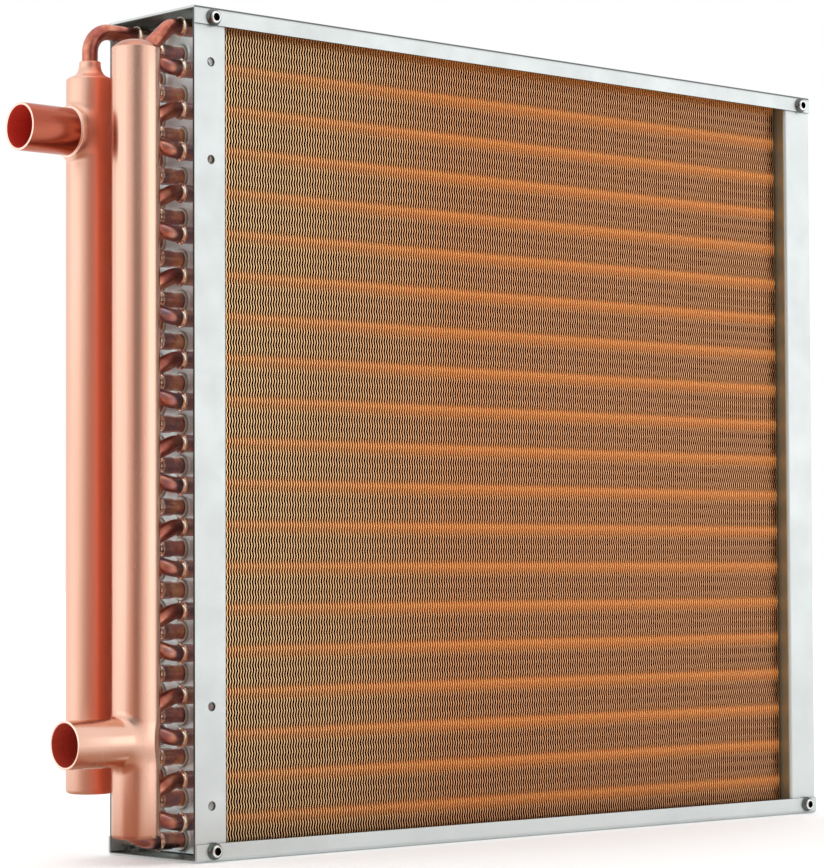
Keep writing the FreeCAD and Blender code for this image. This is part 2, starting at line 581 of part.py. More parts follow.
def make_rear_header():
    """The header in line with the rear row: a neck on top for a bent tube, nine stubs, a port collar."""
    body = new_body("rear_header")
    shoulder = f"({TOP_TUBE} - Sizes.rear_header_drop)"
    neck_foot = f"({shoulder} + Sizes.neck_cone)"
    neck_mouth = f"({neck_foot} + Sizes.neck_height)"
    shell_at = new_sketch(body, "shell_at", "XZ_Plane")
    draw_outline(shell_at, [
        ("0", "Sizes.rear_header_bottom"), (HEADER_RADIUS, "Sizes.rear_header_bottom"), (HEADER_RADIUS, shoulder),
        ("Sizes.neck_base / 2", neck_foot), ("Sizes.neck_top / 2", neck_mouth), ("0", neck_mouth),
    ])
    axis = (origin_part(body, "Z_Axis"), [""])
    shell = turn_about(body, "Revolution", "shell", shell_at, axis)
    round_foot(body, shell, "rear_header_bottom")
    collar_at = new_sketch(body, "port_collar_at", "YZ_Plane")
    draw_circle(collar_at, "0", "Sizes.rear_port_height", "Sizes.port_collar_outer / 2")
    pad(body, collar_at, "port_collar", "Sizes.port_collar_reach", reverse=True)
    rod = add_stub(body, "stub", REAR_HEADER_X, REAR_SLOPE, "2 * Sizes.tube_pitch", "Additive", TUBE_RADIUS)
    repeat(body, "stubs", [rod], "Z_Axis", STUB_RUN, LOWER_STUBS, reverse=True)
    add_top_tube(body, "top_tube", neck_foot, "Additive", TUBE_RADIUS)
    floor = "(Sizes.rear_header_bottom + Sizes.header_wall)"
    cavity_at = new_sketch(body, "cavity_at", "XZ_Plane")
    draw_outline(cavity_at, [
        ("0", floor), (f"{HEADER_BORE} - Sizes.header_foot_rounding", floor),
        (HEADER_BORE, f"{floor} + Sizes.header_foot_rounding"), (HEADER_BORE, f"{shoulder} - Sizes.header_wall"),
        (BORE_RADIUS, f"{neck_foot} - Sizes.header_wall"), (BORE_RADIUS, neck_foot), ("0", neck_foot),
    ])
    turn_about(body, "Groove", "cavity", cavity_at, axis)
    bore = add_stub(body, "stub_bore", REAR_HEADER_X, REAR_SLOPE, "2 * Sizes.tube_pitch", "Subtractive", BORE_RADIUS)
    repeat(body, "stub_bores", [bore], "Z_Axis", STUB_RUN, LOWER_STUBS, reverse=True)
    add_top_tube(body, "top_tube_bore", neck_foot, "Subtractive", BORE_RADIUS)
    opening_at = new_sketch(body, "port_opening_at", "YZ_Plane")
    draw_circle(opening_at, "0", "Sizes.rear_port_height", PORT_BORE)
    cut_to_depth(body, opening_at, "port_opening", "Sizes.port_collar_reach + 1")
    socket_at = new_sketch(body, "port_socket_at", "YZ_Plane", "-Sizes.port_stop")
    draw_circle(socket_at, "0", "Sizes.rear_port_height", "Sizes.port_seat / 2 + Sizes.braze_clearance")
    cut_to_depth(body, socket_at, "port_socket", "Sizes.port_collar_reach")
    bind(body, "Placement.Base.x", REAR_HEADER_X)
    bind(body, "Placement.Base.y", f"-{FRONT_ROW}")
    return body


def add_top_tube(body, name, foot, kind, radius):
    """The rod or bore of the tube that rises from the neck and bends over to the rear row."""
    socket_end = f"({MOUTH} + Sizes.insert_depth - {REAR_HEADER_X})"
    bend_foot = f"({TOP_TUBE} - Sizes.top_bend_radius)"
    path = new_sketch(body, f"{name}_path", "XZ_Plane")
    draw_path(
        path, [("0", foot), ("0", bend_foot), ("Sizes.top_bend_radius", TOP_TUBE), (socket_end, TOP_TUBE)],
        arc_step=1, centre=("Sizes.top_bend_radius", bend_foot), turn=-1)
    disc = new_sketch(body, f"{name}_disc", "XY_Plane", foot)
    draw_circle(disc, "0", "0", radius)
    return sweep(body, kind, name, disc, path)


# Ports: short tubes of one inch nominal bore that the water pipes fit
def pad_port(body, inner_end, joint):
    """The sized end inside the joint, then the tube at its full diameter beyond the joint's edge."""
    shoulder = f"({joint} + Sizes.port_seat_rise)"
    for name, start, end, radius in (
            ("seat", inner_end, shoulder, "Sizes.port_seat / 2"),
            ("tube", shoulder, "Sizes.port_reach", PORT_RADIUS)):
        ring = new_sketch(body, f"{name}_ring", "YZ_Plane", f"-{start}")
        draw_circle(ring, "0", "0", radius)
        draw_circle(ring, "0", "0", PORT_BORE)
        pad(body, ring, name, f"{end} - {start}", reverse=True)


def make_front_port():
    """The lower port, its inner end cut to sit on the front header's round side."""
    body = new_body("front_port")
    pad_port(body, "0", HEADER_RADIUS)
    saddle = new_sketch(body, "saddle_at", "XY_Plane")
    draw_circle(saddle, "0", "0", f"{HEADER_RADIUS} + Sizes.braze_clearance")
    cut_through(body, saddle, "saddle")
    bind(body, "Placement.Base.x", FRONT_HEADER_X)
    bind(body, "Placement.Base.y", FRONT_ROW)
    bind(body, "Placement.Base.z", "Sizes.front_port_height")
    return body


def make_rear_port():
    """The upper port, seated in the rear header's collar."""
    body = new_body("rear_port")
    pad_port(body, "(Sizes.port_stop + Sizes.braze_clearance)", "Sizes.port_collar_reach")
    bind(body, "Placement.Base.x", REAR_HEADER_X)
    bind(body, "Placement.Base.y", f"-{FRONT_ROW}")
    bind(body, "Placement.Base.z", "Sizes.rear_port_height")
    return body


# Corner fasteners: eight button-head screws, each with a nut behind the flange
def make_corner_fasteners():
    """One screw and nut at the front left bottom corner, repeated at the other seven."""
    body = new_body("corner_fasteners")
    across = LEFT_SCREWS
    seat = f"(-{HALF_DEPTH})"
    section = new_sketch(body, "screw_section", "XY_Plane", "Sizes.screw_rise")
    draw_outline(section, [
        (f"{across} + {radius}", f"{seat} + {depth}") for radius, depth in (
            ("0", "-Sizes.screw_head_height"), ("Sizes.screw_head_flat / 2", "-Sizes.screw_head_height"),
            ("0.42 * Sizes.screw_head", "-0.6 * Sizes.screw_head_height"),
            ("Sizes.screw_head / 2", "-0.15 * Sizes.screw_head_height"),
            ("Sizes.screw_head / 2", "0"), ("Sizes.screw_diameter / 2", "0"),
            ("Sizes.screw_diameter / 2", "Sizes.screw_length"), ("0", "Sizes.screw_length"))
    ])
    line = section.addGeometry(Part.LineSegment(
        FreeCAD.Vector(size(across), size(seat), 0), FreeCAD.Vector(size(across), size(seat) + 10, 0)), True)
    place(section, line, 1, across, seat)
    place(section, line, 2, across, f"{seat} + 10")
    screw = turn_about(body, "Revolution", "screw", section, (section, ["Axis0"]))
    socket_at = new_sketch(body, "hex_socket_at", "XZ_Plane", f"-{seat} + Sizes.screw_head_height")
    draw_outline(socket_at, hexagon(across, "Sizes.screw_rise", "Sizes.hex_key"))
    socket = cut_to_depth(body, socket_at, "hex_socket", "Sizes.hex_depth")
    sheets = "(2 * Sizes.plate_thickness + Sizes.seam_clearance)"
    nut_at = new_sketch(body, "nut_at", "XZ_Plane", f"-({seat} + {sheets} + Sizes.nut_clearance)")
    draw_outline(nut_at, hexagon(across, "Sizes.screw_rise", "Sizes.nut_width"))
    draw_circle(nut_at, across, "Sizes.screw_rise", "Sizes.screw_diameter / 2 + Sizes.nut_clearance")
    nut = pad(body, nut_at, "nut", "Sizes.nut_height", reverse=True)
    corners = body.newObject("PartDesign::MultiTransform", "corner_fasteners_corners")
    corners.Originals = [screw, socket, nut]
    back = body.newObject("PartDesign::Mirrored", "corner_fasteners_back")
    back.MirrorPlane = (origin_part(body, "XZ_Plane"), [""])
    steps = [back]
    for name, axis, length in (
            ("right", "X_Axis", f"{RIGHT_SCREWS} - {LEFT_SCREWS}"),
            ("top", "Z_Axis", f"{HEIGHT} - 2 * Sizes.screw_rise")):
        step = body.newObject("PartDesign::LinearPattern", f"corner_fasteners_{name}")
        step.Direction = (origin_part(body, axis), [""])
        bind(step, "Length", length)
        step.Occurrences = 2
        steps.append(step)
    corners.Transformations = steps
    body.Tip = corners
    return body


def hexagon(across, up, width):
    """The corners of a hexagon with flats above and below, as pairs of expressions."""
    half = f"({width} / 2)"
    corner = f"({width} / sqrt(3))"
    return [
        (f"{across} + {corner}", up), (f"{across} + {corner} / 2", f"{up} + {half}"),
        (f"{across} - {corner} / 2", f"{up} + {half}"), (f"{across} - {corner}", up),
        (f"{across} - {corner} / 2", f"{up} - {half}"), (f"{across} + {corner} / 2", f"{up} - {half}"),
    ]


parts = [
    make_plate("top_plate", HEIGHT, -1),
    make_plate("bottom_plate", "0", 1),
    make_tube_sheet("left_tube_sheet", -1),
    make_tube_sheet("right_tube_sheet", 1),
    make_fin_pack(),
    make_front_header(),
    make_rear_header(),
    make_front_port(),
    make_rear_port(),
    make_corner_fasteners(),
]
hairpins_per_row = int(size("Sizes.tubes_per_row")) // 2
row_names = ("front", "middle", "rear")
for row, row_name in enumerate(row_names):
    for number in range(hairpins_per_row):
        parts.append(make_hairpin(f"hairpin_{row_name}_{number + 1:02d}", row, number))
for row, row_name in enumerate(("front", "rear")):
    for number in range(hairpins_per_row):
        parts.append(make_return_bend(f"return_bend_{row_name}_{number + 1:02d}", row, number))

doc.recompute()
for thing in doc.Objects:
    if "Invalid" in thing.State or "Error" in thing.State:
        raise RuntimeError(f"{thing.Label} failed: {thing.State}")
for part in parts:
    if part.Shape.isNull() or not part.Shape.isValid():
        raise RuntimeError(f"{part.Label} has no valid shape")

os.makedirs("parts", exist_ok=True)
for part in parts:
    part.Shape.exportStep(f"parts/{part.Label}.step")
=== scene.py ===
import math

import bpy
import numpy as np
from mathutils import Matrix


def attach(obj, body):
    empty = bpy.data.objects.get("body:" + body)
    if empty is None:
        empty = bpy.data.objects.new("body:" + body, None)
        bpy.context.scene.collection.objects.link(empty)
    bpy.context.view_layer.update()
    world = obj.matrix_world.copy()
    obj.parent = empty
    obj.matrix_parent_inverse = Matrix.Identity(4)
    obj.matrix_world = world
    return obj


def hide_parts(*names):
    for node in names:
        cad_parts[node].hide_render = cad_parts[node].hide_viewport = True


# Water-to-air heat exchanger. Metres, with the part's own axes: X along the fins' width, Y from
# the front face to the back, Z up, and the origin in the middle of the casing's underside.
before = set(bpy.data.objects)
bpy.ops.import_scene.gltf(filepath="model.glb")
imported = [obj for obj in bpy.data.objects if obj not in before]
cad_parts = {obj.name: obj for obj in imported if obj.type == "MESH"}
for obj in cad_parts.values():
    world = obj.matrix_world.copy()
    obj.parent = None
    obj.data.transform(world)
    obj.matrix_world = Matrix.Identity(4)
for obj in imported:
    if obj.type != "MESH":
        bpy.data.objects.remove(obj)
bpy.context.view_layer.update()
scene = bpy.context.scene


# The camera stands low at the front left corner and looks a little upwards, as in the photograph,
# whose upright edges and vanishing points give its place and its lens.
CAMERA_PLACE = (-1.420626, -1.486491, 0.167310)
CAMERA_YAW = 0.738598585
CAMERA_PITCH = 0.0459797851
CAMERA_ROLL = -0.00435234535
CAMERA_LENS = 129.18


def camera_axes(yaw, pitch, roll):
    """Right, up and backward directions: the view turned from +Y by yaw, raised by pitch, then rolled."""
    ahead = np.array([math.sin(yaw) * math.cos(pitch), math.cos(yaw) * math.cos(pitch), math.sin(pitch)])
    level = np.array([math.cos(yaw), -math.sin(yaw), 0.0])
    upright = np.cross(level, ahead)
    right = math.cos(roll) * level + math.sin(roll) * upright
    up = -math.sin(roll) * level + math.cos(roll) * upright
    return right, up, -ahead


camera = bpy.data.objects.new("camera", bpy.data.cameras.new("camera"))
scene.collection.objects.link(camera)
turn = np.eye(4)
turn[:3, :3] = np.array(camera_axes(CAMERA_YAW, CAMERA_PITCH, CAMERA_ROLL)).T
turn[:3, 3] = CAMERA_PLACE
camera.matrix_world = Matrix(turn.tolist())
camera.data.lens = CAMERA_LENS
camera.data.sensor_width = 36.0
camera.data.clip_start = 0.05
camera.data.clip_end = 60.0
scene.camera = camera
scene.view_settings.view_transform = "Standard"


# The studio: an even white surround, and soft lamps at the left, the front right and above. The
# surround lights the part a little more brightly than the plain white that the camera sees.
WHITE = (1.0, 1.0, 1.0)
SURROUND_LIGHT = 1.13
SURROUND_SEEN = 1.0


def feed(tree, slot, value):
    """Sets a socket to a number or a colour, or links it to another node's output."""
    if isinstance(value, bpy.types.NodeSocket):
        tree.links.new(value, slot)
    else:
        slot.default_value = (*value, 1.0) if slot.type == "RGBA" else value


def added(tree, kind, inputs, output=0, **settings):
    """A new node with its settings made and its sockets fed; gives one of its outputs."""
    node = tree.nodes.new(f"ShaderNode{kind}")
    for setting, value in settings.items():
        setattr(node, setting, value)
    for slot, value in inputs.items():
        feed(tree, node.inputs[slot], value)
    return node.outputs[output]


world = bpy.data.worlds.new("surround")
scene.world = world
world.use_nodes = True
tree = world.node_tree
tree.nodes.clear()
lighting = added(tree, "Background", {"Color": WHITE, "Strength": SURROUND_LIGHT})
seen = added(tree, "Background", {"Color": WHITE, "Strength": SURROUND_SEEN})
camera_ray = added(tree, "LightPath", {}, "Is Camera Ray")
sky = tree.nodes.new("ShaderNodeOutputWorld")
feed(tree, sky.inputs["Surface"], added(tree, "MixShader", {0: camera_ray, 1: lighting, 2: seen}))


def soft_lamp(name, place, aim, width, height, watts):
    """A rectangular soft box that stands at place and faces aim."""
    lamp = bpy.data.lights.new(name, "AREA")
    lamp.shape = "RECTANGLE"
    lamp.size = width
    lamp.size_y = height
    lamp.energy = watts
    holder = bpy.data.objects.new(name, lamp)
    scene.collection.objects.link(holder)
    holder.location = place
    toward = np.array(aim) - np.array(place)
    tilt = math.atan2(math.hypot(toward[0], toward[1]), -toward[2])
    holder.rotation_euler = (tilt, 0.0, math.atan2(toward[1], toward[0]) - math.pi / 2)
    return holder


lamps = [
    soft_lamp("lamp_left", (-2.3, 0.9, 0.7), (-0.2, 0.0, 0.25), 2.6, 1.6, 4.9),
    soft_lamp("lamp_right", (1.5, -1.7, 0.6), (0.0, 0.0, 0.25), 1.8, 1.2, 4.8),
    soft_lamp("lamp_above", (-0.1, 0.1, 2.2), (0.0, 0.0, 0.3), 1.6, 1.2, 2.0),
]


# Card behind the camera, seen only in mirror images and soft light. The upright copper mirrors its
# dark middle as a darker stripe, which the card's warm foot makes redder lower down.
CARD_HALF_WIDTH = 2.4
CARD_HALF_HEIGHT = 1.6
CARD_PLACE = (-1.75, -2.55, 1.602)
CARD_TURN = -0.53
CARD_GREYS = [(0.0, 0.98), (0.14, 0.90), (0.42, 0.32), (0.60, 0.32), (0.92, 0.98)]
CARD_WARMTH = (1.0, 0.66, 0.56)
CARD_WARM_BELOW = -0.5
MATT = 0.95
SQUARE = ((-1, -1), (1, -1), (1, 1), (-1, 1))


def new_paint(name):
    """A material, its node tree and its main shader."""
    paint = bpy.data.materials.new(name)
    paint.use_nodes = True
    return paint, paint.node_tree, paint.node_tree.nodes["Principled BSDF"]


def dress(tree, shader, colour, metal, roughness):
    """Feeds a shader its colour, its share of metal and its roughness."""
    for slot, value in (("Base Color", colour), ("Metallic", metal), ("Roughness", roughness)):
        feed(tree, shader.inputs[slot], value)


def own_place(tree):
    """The place on the object, in its own axes and in metres."""
    return added(tree, "TexCoord", {}, "Object")


def parted(tree):
    """The object's own X, Y and Z in metres."""
    node = tree.nodes.new("ShaderNodeSeparateXYZ")
    feed(tree, node.inputs["Vector"], own_place(tree))
    return [node.outputs[axis] for axis in "XYZ"]


def beyond(tree, value, start, end):
    """Rises from 0 to 1 as a value goes from start to end."""
    return added(tree, "MapRange", {"Value": value, "From Min": start, "From Max": end})


def greys(stops):
    """Pairs of place and grey value as the stops of a ramp."""
    return [(place, (grey, grey, grey)) for place, grey in stops]


def ramp(tree, source, stops, blend="LINEAR"):
    """Colours placed along a source value; stops are pairs of place and colour."""
    node = tree.nodes.new("ShaderNodeValToRGB")
    node.color_ramp.interpolation = blend
    marks = node.color_ramp.elements
    while len(marks) < len(stops):
        marks.new(0.5)
    for mark, (place, colour) in zip(marks, stops):
        mark.position = place
        mark.color = (*colour, 1.0)
    feed(tree, node.inputs["Fac"], source)
    return node.outputs["Color"]


def laid(tree, under, over, share, blend="MIX"):
    """A colour with another laid over it, or blended in as named, by a share from 0 to 1."""
    return added(tree, "MixRGB", {"Fac": share, "Color1": under, "Color2": over}, "Color", blend_type=blend)


def studio_sheet(name, corners, faces, place, paint):
    """A flat mesh of the studio that stands at its place."""
    data = bpy.data.meshes.new(name)
    data.from_pydata(corners, [], faces)
    data.materials.append(paint)
    holder = bpy.data.objects.new(name, data)
    scene.collection.objects.link(holder)
    holder.location = place
    return holder


card_paint, tree, shader = new_paint("card_paint")
across, _, up = parted(tree)
stripe = ramp(tree, beyond(tree, across, -CARD_HALF_WIDTH, CARD_HALF_WIDTH), greys(CARD_GREYS), "EASE")
foot = beyond(tree, up, CARD_WARM_BELOW, -CARD_HALF_HEIGHT)
dress(tree, shader, laid(tree, stripe, CARD_WARMTH, foot, "MULTIPLY"), 0.0, MATT)
card_corners = [(side * CARD_HALF_WIDTH, 0.0, end * CARD_HALF_HEIGHT) for side, end in SQUARE]
card = studio_sheet("card", card_corners, [(0, 1, 2, 3)], CARD_PLACE, card_paint)
card.rotation_euler = (0.0, 0.0, CARD_TURN)
card.visible_camera = False


# Floor: a wide pale matt sheet just under the part. It glows faintly to the camera and in mirror
# images, so that it looks nearly white there, and keeps the part's shadow.
FLOOR_HALF_WIDTH = 30.0
FLOOR_DROP = -0.0002
FLOOR_GREY = (0.90, 0.90, 0.90)
FLOOR_GLOW = 0.22
FLOOR_ROUGHNESS = 0.9

floor_paint, tree, shader = new_paint("floor_paint")
dress(tree, shader, FLOOR_GREY, 0.0, FLOOR_ROUGHNESS)
ray = tree.nodes.new("ShaderNodeLightPath").outputs
seen = added(tree, "Math", {0: ray["Is Camera Ray"], 1: ray["Is Glossy Ray"]}, operation="MAXIMUM")
dark, glow = [added(tree, "Emission", {"Color": WHITE, "Strength": power}) for power in (0.0, FLOOR_GLOW)]
shine = added(tree, "MixShader", {0: seen, 1: dark, 2: glow})
lit = added(tree, "AddShader", {0: shader.outputs["BSDF"], 1: shine})
feed(tree, tree.nodes["Material Output"].inputs["Surface"], lit)
floor_corners = [(side * FLOOR_HALF_WIDTH, end * FLOOR_HALF_WIDTH, 0.0) for side, end in SQUARE]
floor = studio_sheet("floor", floor_corners, [(0, 1, 2, 3)], (0.0, 0.0, FLOOR_DROP), floor_paint)


# Card flat on the floor before the headers, seen only in mirror images. It carries the dark stripe
# of the upright headers down to their feet and tones the lower ports.
FLOOR_CARD_OUTLINE = [
    (0.024, -0.035, 0), (0.024, 0.37, 0), (-0.9, 0.37, 0), (-2.7, -1.2, 0), (-2.4, -2.2, 0), (-1.2, -2.9, 0),
    (-0.05, -0.9, 0), (0.16, -0.3, 0), (0.16, -0.035, 0)]
FLOOR_CARD_PLACE = (-0.3069, -0.02165, 0.0001)
FLOOR_CARD_DARK_WAY = (-0.866, -0.5, 0.0)
FLOOR_CARD_TONES = [(0.42, (0.92, 0.90, 0.88)), (0.62, (0.86, 0.74, 0.68)), (0.90, (0.42, 0.19, 0.12))]
FLOOR_CARD_FOOT = (0.17, 0.07)
# Close to the headers the card is darker and warmer: painted shade of the floor next to the part, as the
# ports mirror it.
FLOOR_CARD_FOOT_TONE = (0.62, 0.42, 0.33)

floor_card_paint, tree, shader = new_paint("floor_card_paint")
way = added(tree, "VectorMath", {0: own_place(tree)}, "Vector", operation="NORMALIZE")
likeness = added(tree, "VectorMath", {0: way, 1: FLOOR_CARD_DARK_WAY}, "Value", operation="DOT_PRODUCT")
reach = added(tree, "VectorMath", {0: own_place(tree)}, "Value", operation="LENGTH")
toned = laid(tree, ramp(tree, likeness, FLOOR_CARD_TONES, "EASE"), FLOOR_CARD_FOOT_TONE,
             beyond(tree, reach, *FLOOR_CARD_FOOT), "DARKEN")
dress(tree, shader, toned, 0.0, MATT)
floor_card = studio_sheet(
    "floor_card", FLOOR_CARD_OUTLINE, [(0, corner, corner + 1) for corner in range(1, 8)], FLOOR_CARD_PLACE,
    floor_card_paint)
for kind in ("camera", "diffuse", "shadow", "transmission", "volume_scatter"):
    setattr(floor_card, f"visible_{kind}", False)


# Casing: four pieces of galvanised steel sheet, folded. The top and bottom plates are shallow
# channels whose lips lap over the tube sheets' flanges and are screwed to them at the corners.
# Sizes from here on are in millimetres, and only the height of a bump is in metres.
MM = 0.001
CASING_HEIGHT = 508.0
CASING_MIDDLE = 0.5 * CASING_HEIGHT
PLATE_INSIDE = 252.5
LIP_END = 243.0
LAP_DEPTH = 41.5
FLANGE_INSIDE = 40.0
FLANGE_END = 278.5
WEB_INNER = 253.7
WEB_OUTER = 255.2
FLANGE_HOLE_X = -265.8
FLANGE_HOLE_RISES = (221.0, 162.5)
FLANGE_HOLE_RADIUS = 2.4
ZINC_LIGHT = (0.60, 0.635, 0.63)
ZINC_DARK = (0.55, 0.585, 0.58)
DARKENED_ZINC = (0.10, 0.11, 0.11)
ZINC_GLOSS = 0.36
ZINC_BUMP = 0.0004
FLAKE_SCALE = 160.0
FLAKE_SHARE = 0.12
GLOSS_SPAN = 0.12
PLATE_INSIDE_SHADE = (0.20, 0.23, 0.21)
WEB_PAINTED_LIGHT = (0.88, 1.0, 1.0)
FIN_MIRROR_TINT = (0.50, 0.46, 0.30)


def maths(tree, operation, first, second=0.0, third=0.0):
    """One step of arithmetic on sockets or plain numbers."""
    return added(tree, "Math", {0: first, 1: second, 2: third}, operation=operation)


def place_of(tree):
    """The object's own X, Y and Z in millimetres."""
    return [maths(tree, "MULTIPLY", value, 1 / MM) for value in parted(tree)]


def away(tree, value, mark=0.0):
    """How far a value is from a mark, to either side."""
    return maths(tree, "ABSOLUTE", maths(tree, "SUBTRACT", value, mark))


def nearest(tree, value, marks):
    """How far a value is from the nearer of two marks."""
    return maths(tree, "MINIMUM", *[away(tree, value, mark) for mark in marks])


def slant(tree, across, rise):
    """Distance from two distances at right angles: the root of the sum of their squares."""
    squares = maths(tree, "MULTIPLY_ADD", across, across, maths(tree, "MULTIPLY", rise, rise))
    return maths(tree, "SQRT", squares)


def clouds(tree, scale, detail=3.0, stretch=(1.0, 1.0, 1.0)):
    """Noise in the object's own space, squeezed by stretch along each axis."""
    squeezed = added(tree, "Mapping", {"Vector": own_place(tree), "Scale": stretch})
    return added(tree, "TexNoise", {"Vector": squeezed, "Scale": scale, "Detail": detail}, "Fac")


def spread(tree, source, low, high):
    """A source value's usual span, 0.3 to 0.7, carried over to low and high."""
    return added(tree, "MapRange", {
        "Value": source, "From Min": 0.3, "From Max": 0.7, "To Min": low, "To Max": high})


def relief(tree, shader, source, height):
    """Bump of a given height in metres from a source value."""
    bump = added(tree, "Bump", {"Height": source, "Distance": height, "Strength": 1.0})
    feed(tree, shader.inputs["Normal"], bump)


def tinted(tree, colour, tints):
    """A colour with tints laid over it.

    A tint is a colour with a function that gives its mask from the object's own X, Y and Z.
    """
    for over, mask in tints:
        colour = laid(tree, colour, over, mask(tree, *place_of(tree)))
    return colour


def zinc_paint(name, light, dark, gloss, tints=(), metal=0.75):
    """Zinc coat: faint crystal flakes, slow cloudy change of tone, satin; tints lie over it."""
    paint, tree, shader = new_paint(name)
    flakes = added(tree, "TexVoronoi", {"Vector": own_place(tree), "Scale": FLAKE_SCALE}, "Color")
    cloudy = ramp(tree, clouds(tree, 14.0, 4.0), [(0.3, dark), (0.7, light)])
    spangled = laid(tree, cloudy, ramp(tree, flakes, [(0.0, dark), (1.0, light)]), FLAKE_SHARE)
    dress(tree, shader, tinted(tree, spangled, tints), metal,
          spread(tree, clouds(tree, 60.0, 2.0), gloss, gloss + GLOSS_SPAN))
    relief(tree, shader, clouds(tree, 9.0, 2.0), ZINC_BUMP)
    return paint


def repaint(name, paint):
    """Gives a node of the frame one material."""
    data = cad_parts[name].data
    data.materials.clear()
    data.materials.append(paint)


def fold_edge(tree, x, y, z):
    """White on the rounded folds along the casing's top edges, front and back, where a line of painted shade
    is laid.
    """
    side = beyond(tree, away(tree, y), LAP_DEPTH - 0.2, LAP_DEPTH + 0.3)
    return maths(tree, "MULTIPLY", side, beyond(tree, z, CASING_HEIGHT - 1.8, CASING_HEIGHT - 1.3))


def inside_face(tree, x, y, z):
    """White on the inner sides of the top and bottom plates, which are painted dark there as painted shade.
    """
    rise = beyond(tree, away(tree, z, CASING_MIDDLE), PLATE_INSIDE + 0.4, PLATE_INSIDE + 0.1)
    return maths(tree, "MULTIPLY", rise, beyond(tree, away(tree, y), LAP_DEPTH + 0.1, LAP_DEPTH - 0.1))


def lip_end(tree, x, y, z):
    """White on the cut edges of the plates' lips, which face the coil's middle; there a painted shadow
    darkens the line where the lips end over the flanges.
    """
    return beyond(tree, away(tree, z, CASING_MIDDLE), LIP_END + 0.2, LIP_END + 0.02)


def web_outside(tree, x, y, z):
    """White on the outer sides of the tube sheets' webs, between their flanges, which are painted paler and
    bluer there as painted light.
    """
    out = beyond(tree, away(tree, x), WEB_OUTER - 0.6, WEB_OUTER - 0.2)
    return maths(tree, "MULTIPLY", out, beyond(tree, away(tree, y), FLANGE_INSIDE + 0.1, FLANGE_INSIDE - 0.3))


def web_inside(tree, x, y, z):
    """White on the sides that face the fins, where a painted reflection of their colour is laid."""
    near = beyond(tree, away(tree, x), WEB_INNER + 0.5, WEB_INNER + 0.2)
    return maths(tree, "MULTIPLY", near, beyond(tree, away(tree, y), LAP_DEPTH - 0.2, LAP_DEPTH - 0.6))


def flange_end(tree, x, y, z):
    """White on the cut edges of the flanges, at the casing's two ends."""
    return beyond(tree, away(tree, x), FLANGE_END - 0.15, FLANGE_END - 0.05)


def flange_holes(tree, x, y, z):
    """White in and just round the four holes of each left flange, where painted shade darkens them."""
    rise = nearest(tree, away(tree, z, CASING_MIDDLE), FLANGE_HOLE_RISES)
    span = slant(tree, away(tree, x, FLANGE_HOLE_X), rise)
    return beyond(tree, span, FLANGE_HOLE_RADIUS + 0.55, FLANGE_HOLE_RADIUS + 0.3)


# Over the zinc lie painted shade on the folds, the plates' inner sides, the lips' ends and the flange holes,
# painted light on the webs' outer sides and a painted reflection of the fins on their inner sides.
plate_paint = zinc_paint("plate_zinc", ZINC_LIGHT, ZINC_DARK, ZINC_GLOSS, [
    (DARKENED_ZINC, fold_edge), (PLATE_INSIDE_SHADE, inside_face), (DARKENED_ZINC, lip_end)])
sheet_paint = zinc_paint("sheet_zinc", ZINC_LIGHT, ZINC_DARK, ZINC_GLOSS, [
    (WEB_PAINTED_LIGHT, web_outside), (FIN_MIRROR_TINT, web_inside),
    (DARKENED_ZINC, flange_end), (DARKENED_ZINC, flange_holes)])
for name in ("top_plate", "bottom_plate"):
    repaint(name, plate_paint)
for name in ("left_tube_sheet", "right_tube_sheet"):
    repaint(name, sheet_paint)


# Collars: the tube sheets' holes are drawn outwards, so that every tube sits in a short collar
# with a rounded root and a thin rim. The collars' zinc is painted paler and bluer than the casing's,
# as painted light, with a painted highlight on the rims and painted shade on the walls.
TUBE_PITCH = 25.0
ROW_PITCH = 21.65
TUBES_IN_ROW = 20
TOP_TUBE = 497.75
ROWS = (-ROW_PITCH, 0.0, ROW_PITCH)
TUBE_SIDES = 24
COLLAR_SECTION = [
    (0.02, 8.2), (0.12, 7.5), (0.42, 6.9), (0.9, 6.5), (1.5, 6.3), (1.9, 6.25), (2.1, 6.1),
    (2.15, 5.7), (2.0, 5.35), (1.5, 5.15), (0.4, 5.1), (-0.5, 5.1),
]
COLLAR_LIGHT = (0.86, 0.95, 0.98)
COLLAR_DARK = (0.78, 0.88, 0.90)
COLLAR_WALL_SHADE = (0.52, 0.52, 0.46)
COLLAR_RIM_HIGHLIGHT = (1.0, 0.97, 0.84)


def tube_heights(row):
    """Heights of a row's tubes from the top one down; the middle row stands half a pitch lower."""
    return TOP_TUBE - TUBE_PITCH * (np.arange(TUBES_IN_ROW) + 0.5 * (row == 1))


def at_all_tubes(profile, x, way):
    """A profile turned about the axis of every tube, from x on along way."""
    return joined([turned(profile, (x, depth, height), way, TUBE_SIDES)
                   for row, depth in enumerate(ROWS) for height in tube_heights(row)])


def rings_along(centres, ahead, upright, radii, sides):
    """Circles round a path: centre + radius x (cos a x upright + sin a x (ahead cross upright))."""
    centres = np.asarray(centres, float)
    ahead = np.broadcast_to(np.asarray(ahead, float), centres.shape)
    upright = np.broadcast_to(np.asarray(upright, float), centres.shape)
    across = np.cross(ahead, upright)
    angle = np.linspace(0.0, 2 * np.pi, sides, endpoint=False)[None, :, None]
    turn = np.cos(angle) * upright[:, None, :] + np.sin(angle) * across[:, None, :]
    return centres[:, None, :] + np.asarray(radii, float)[:, None, None] * turn


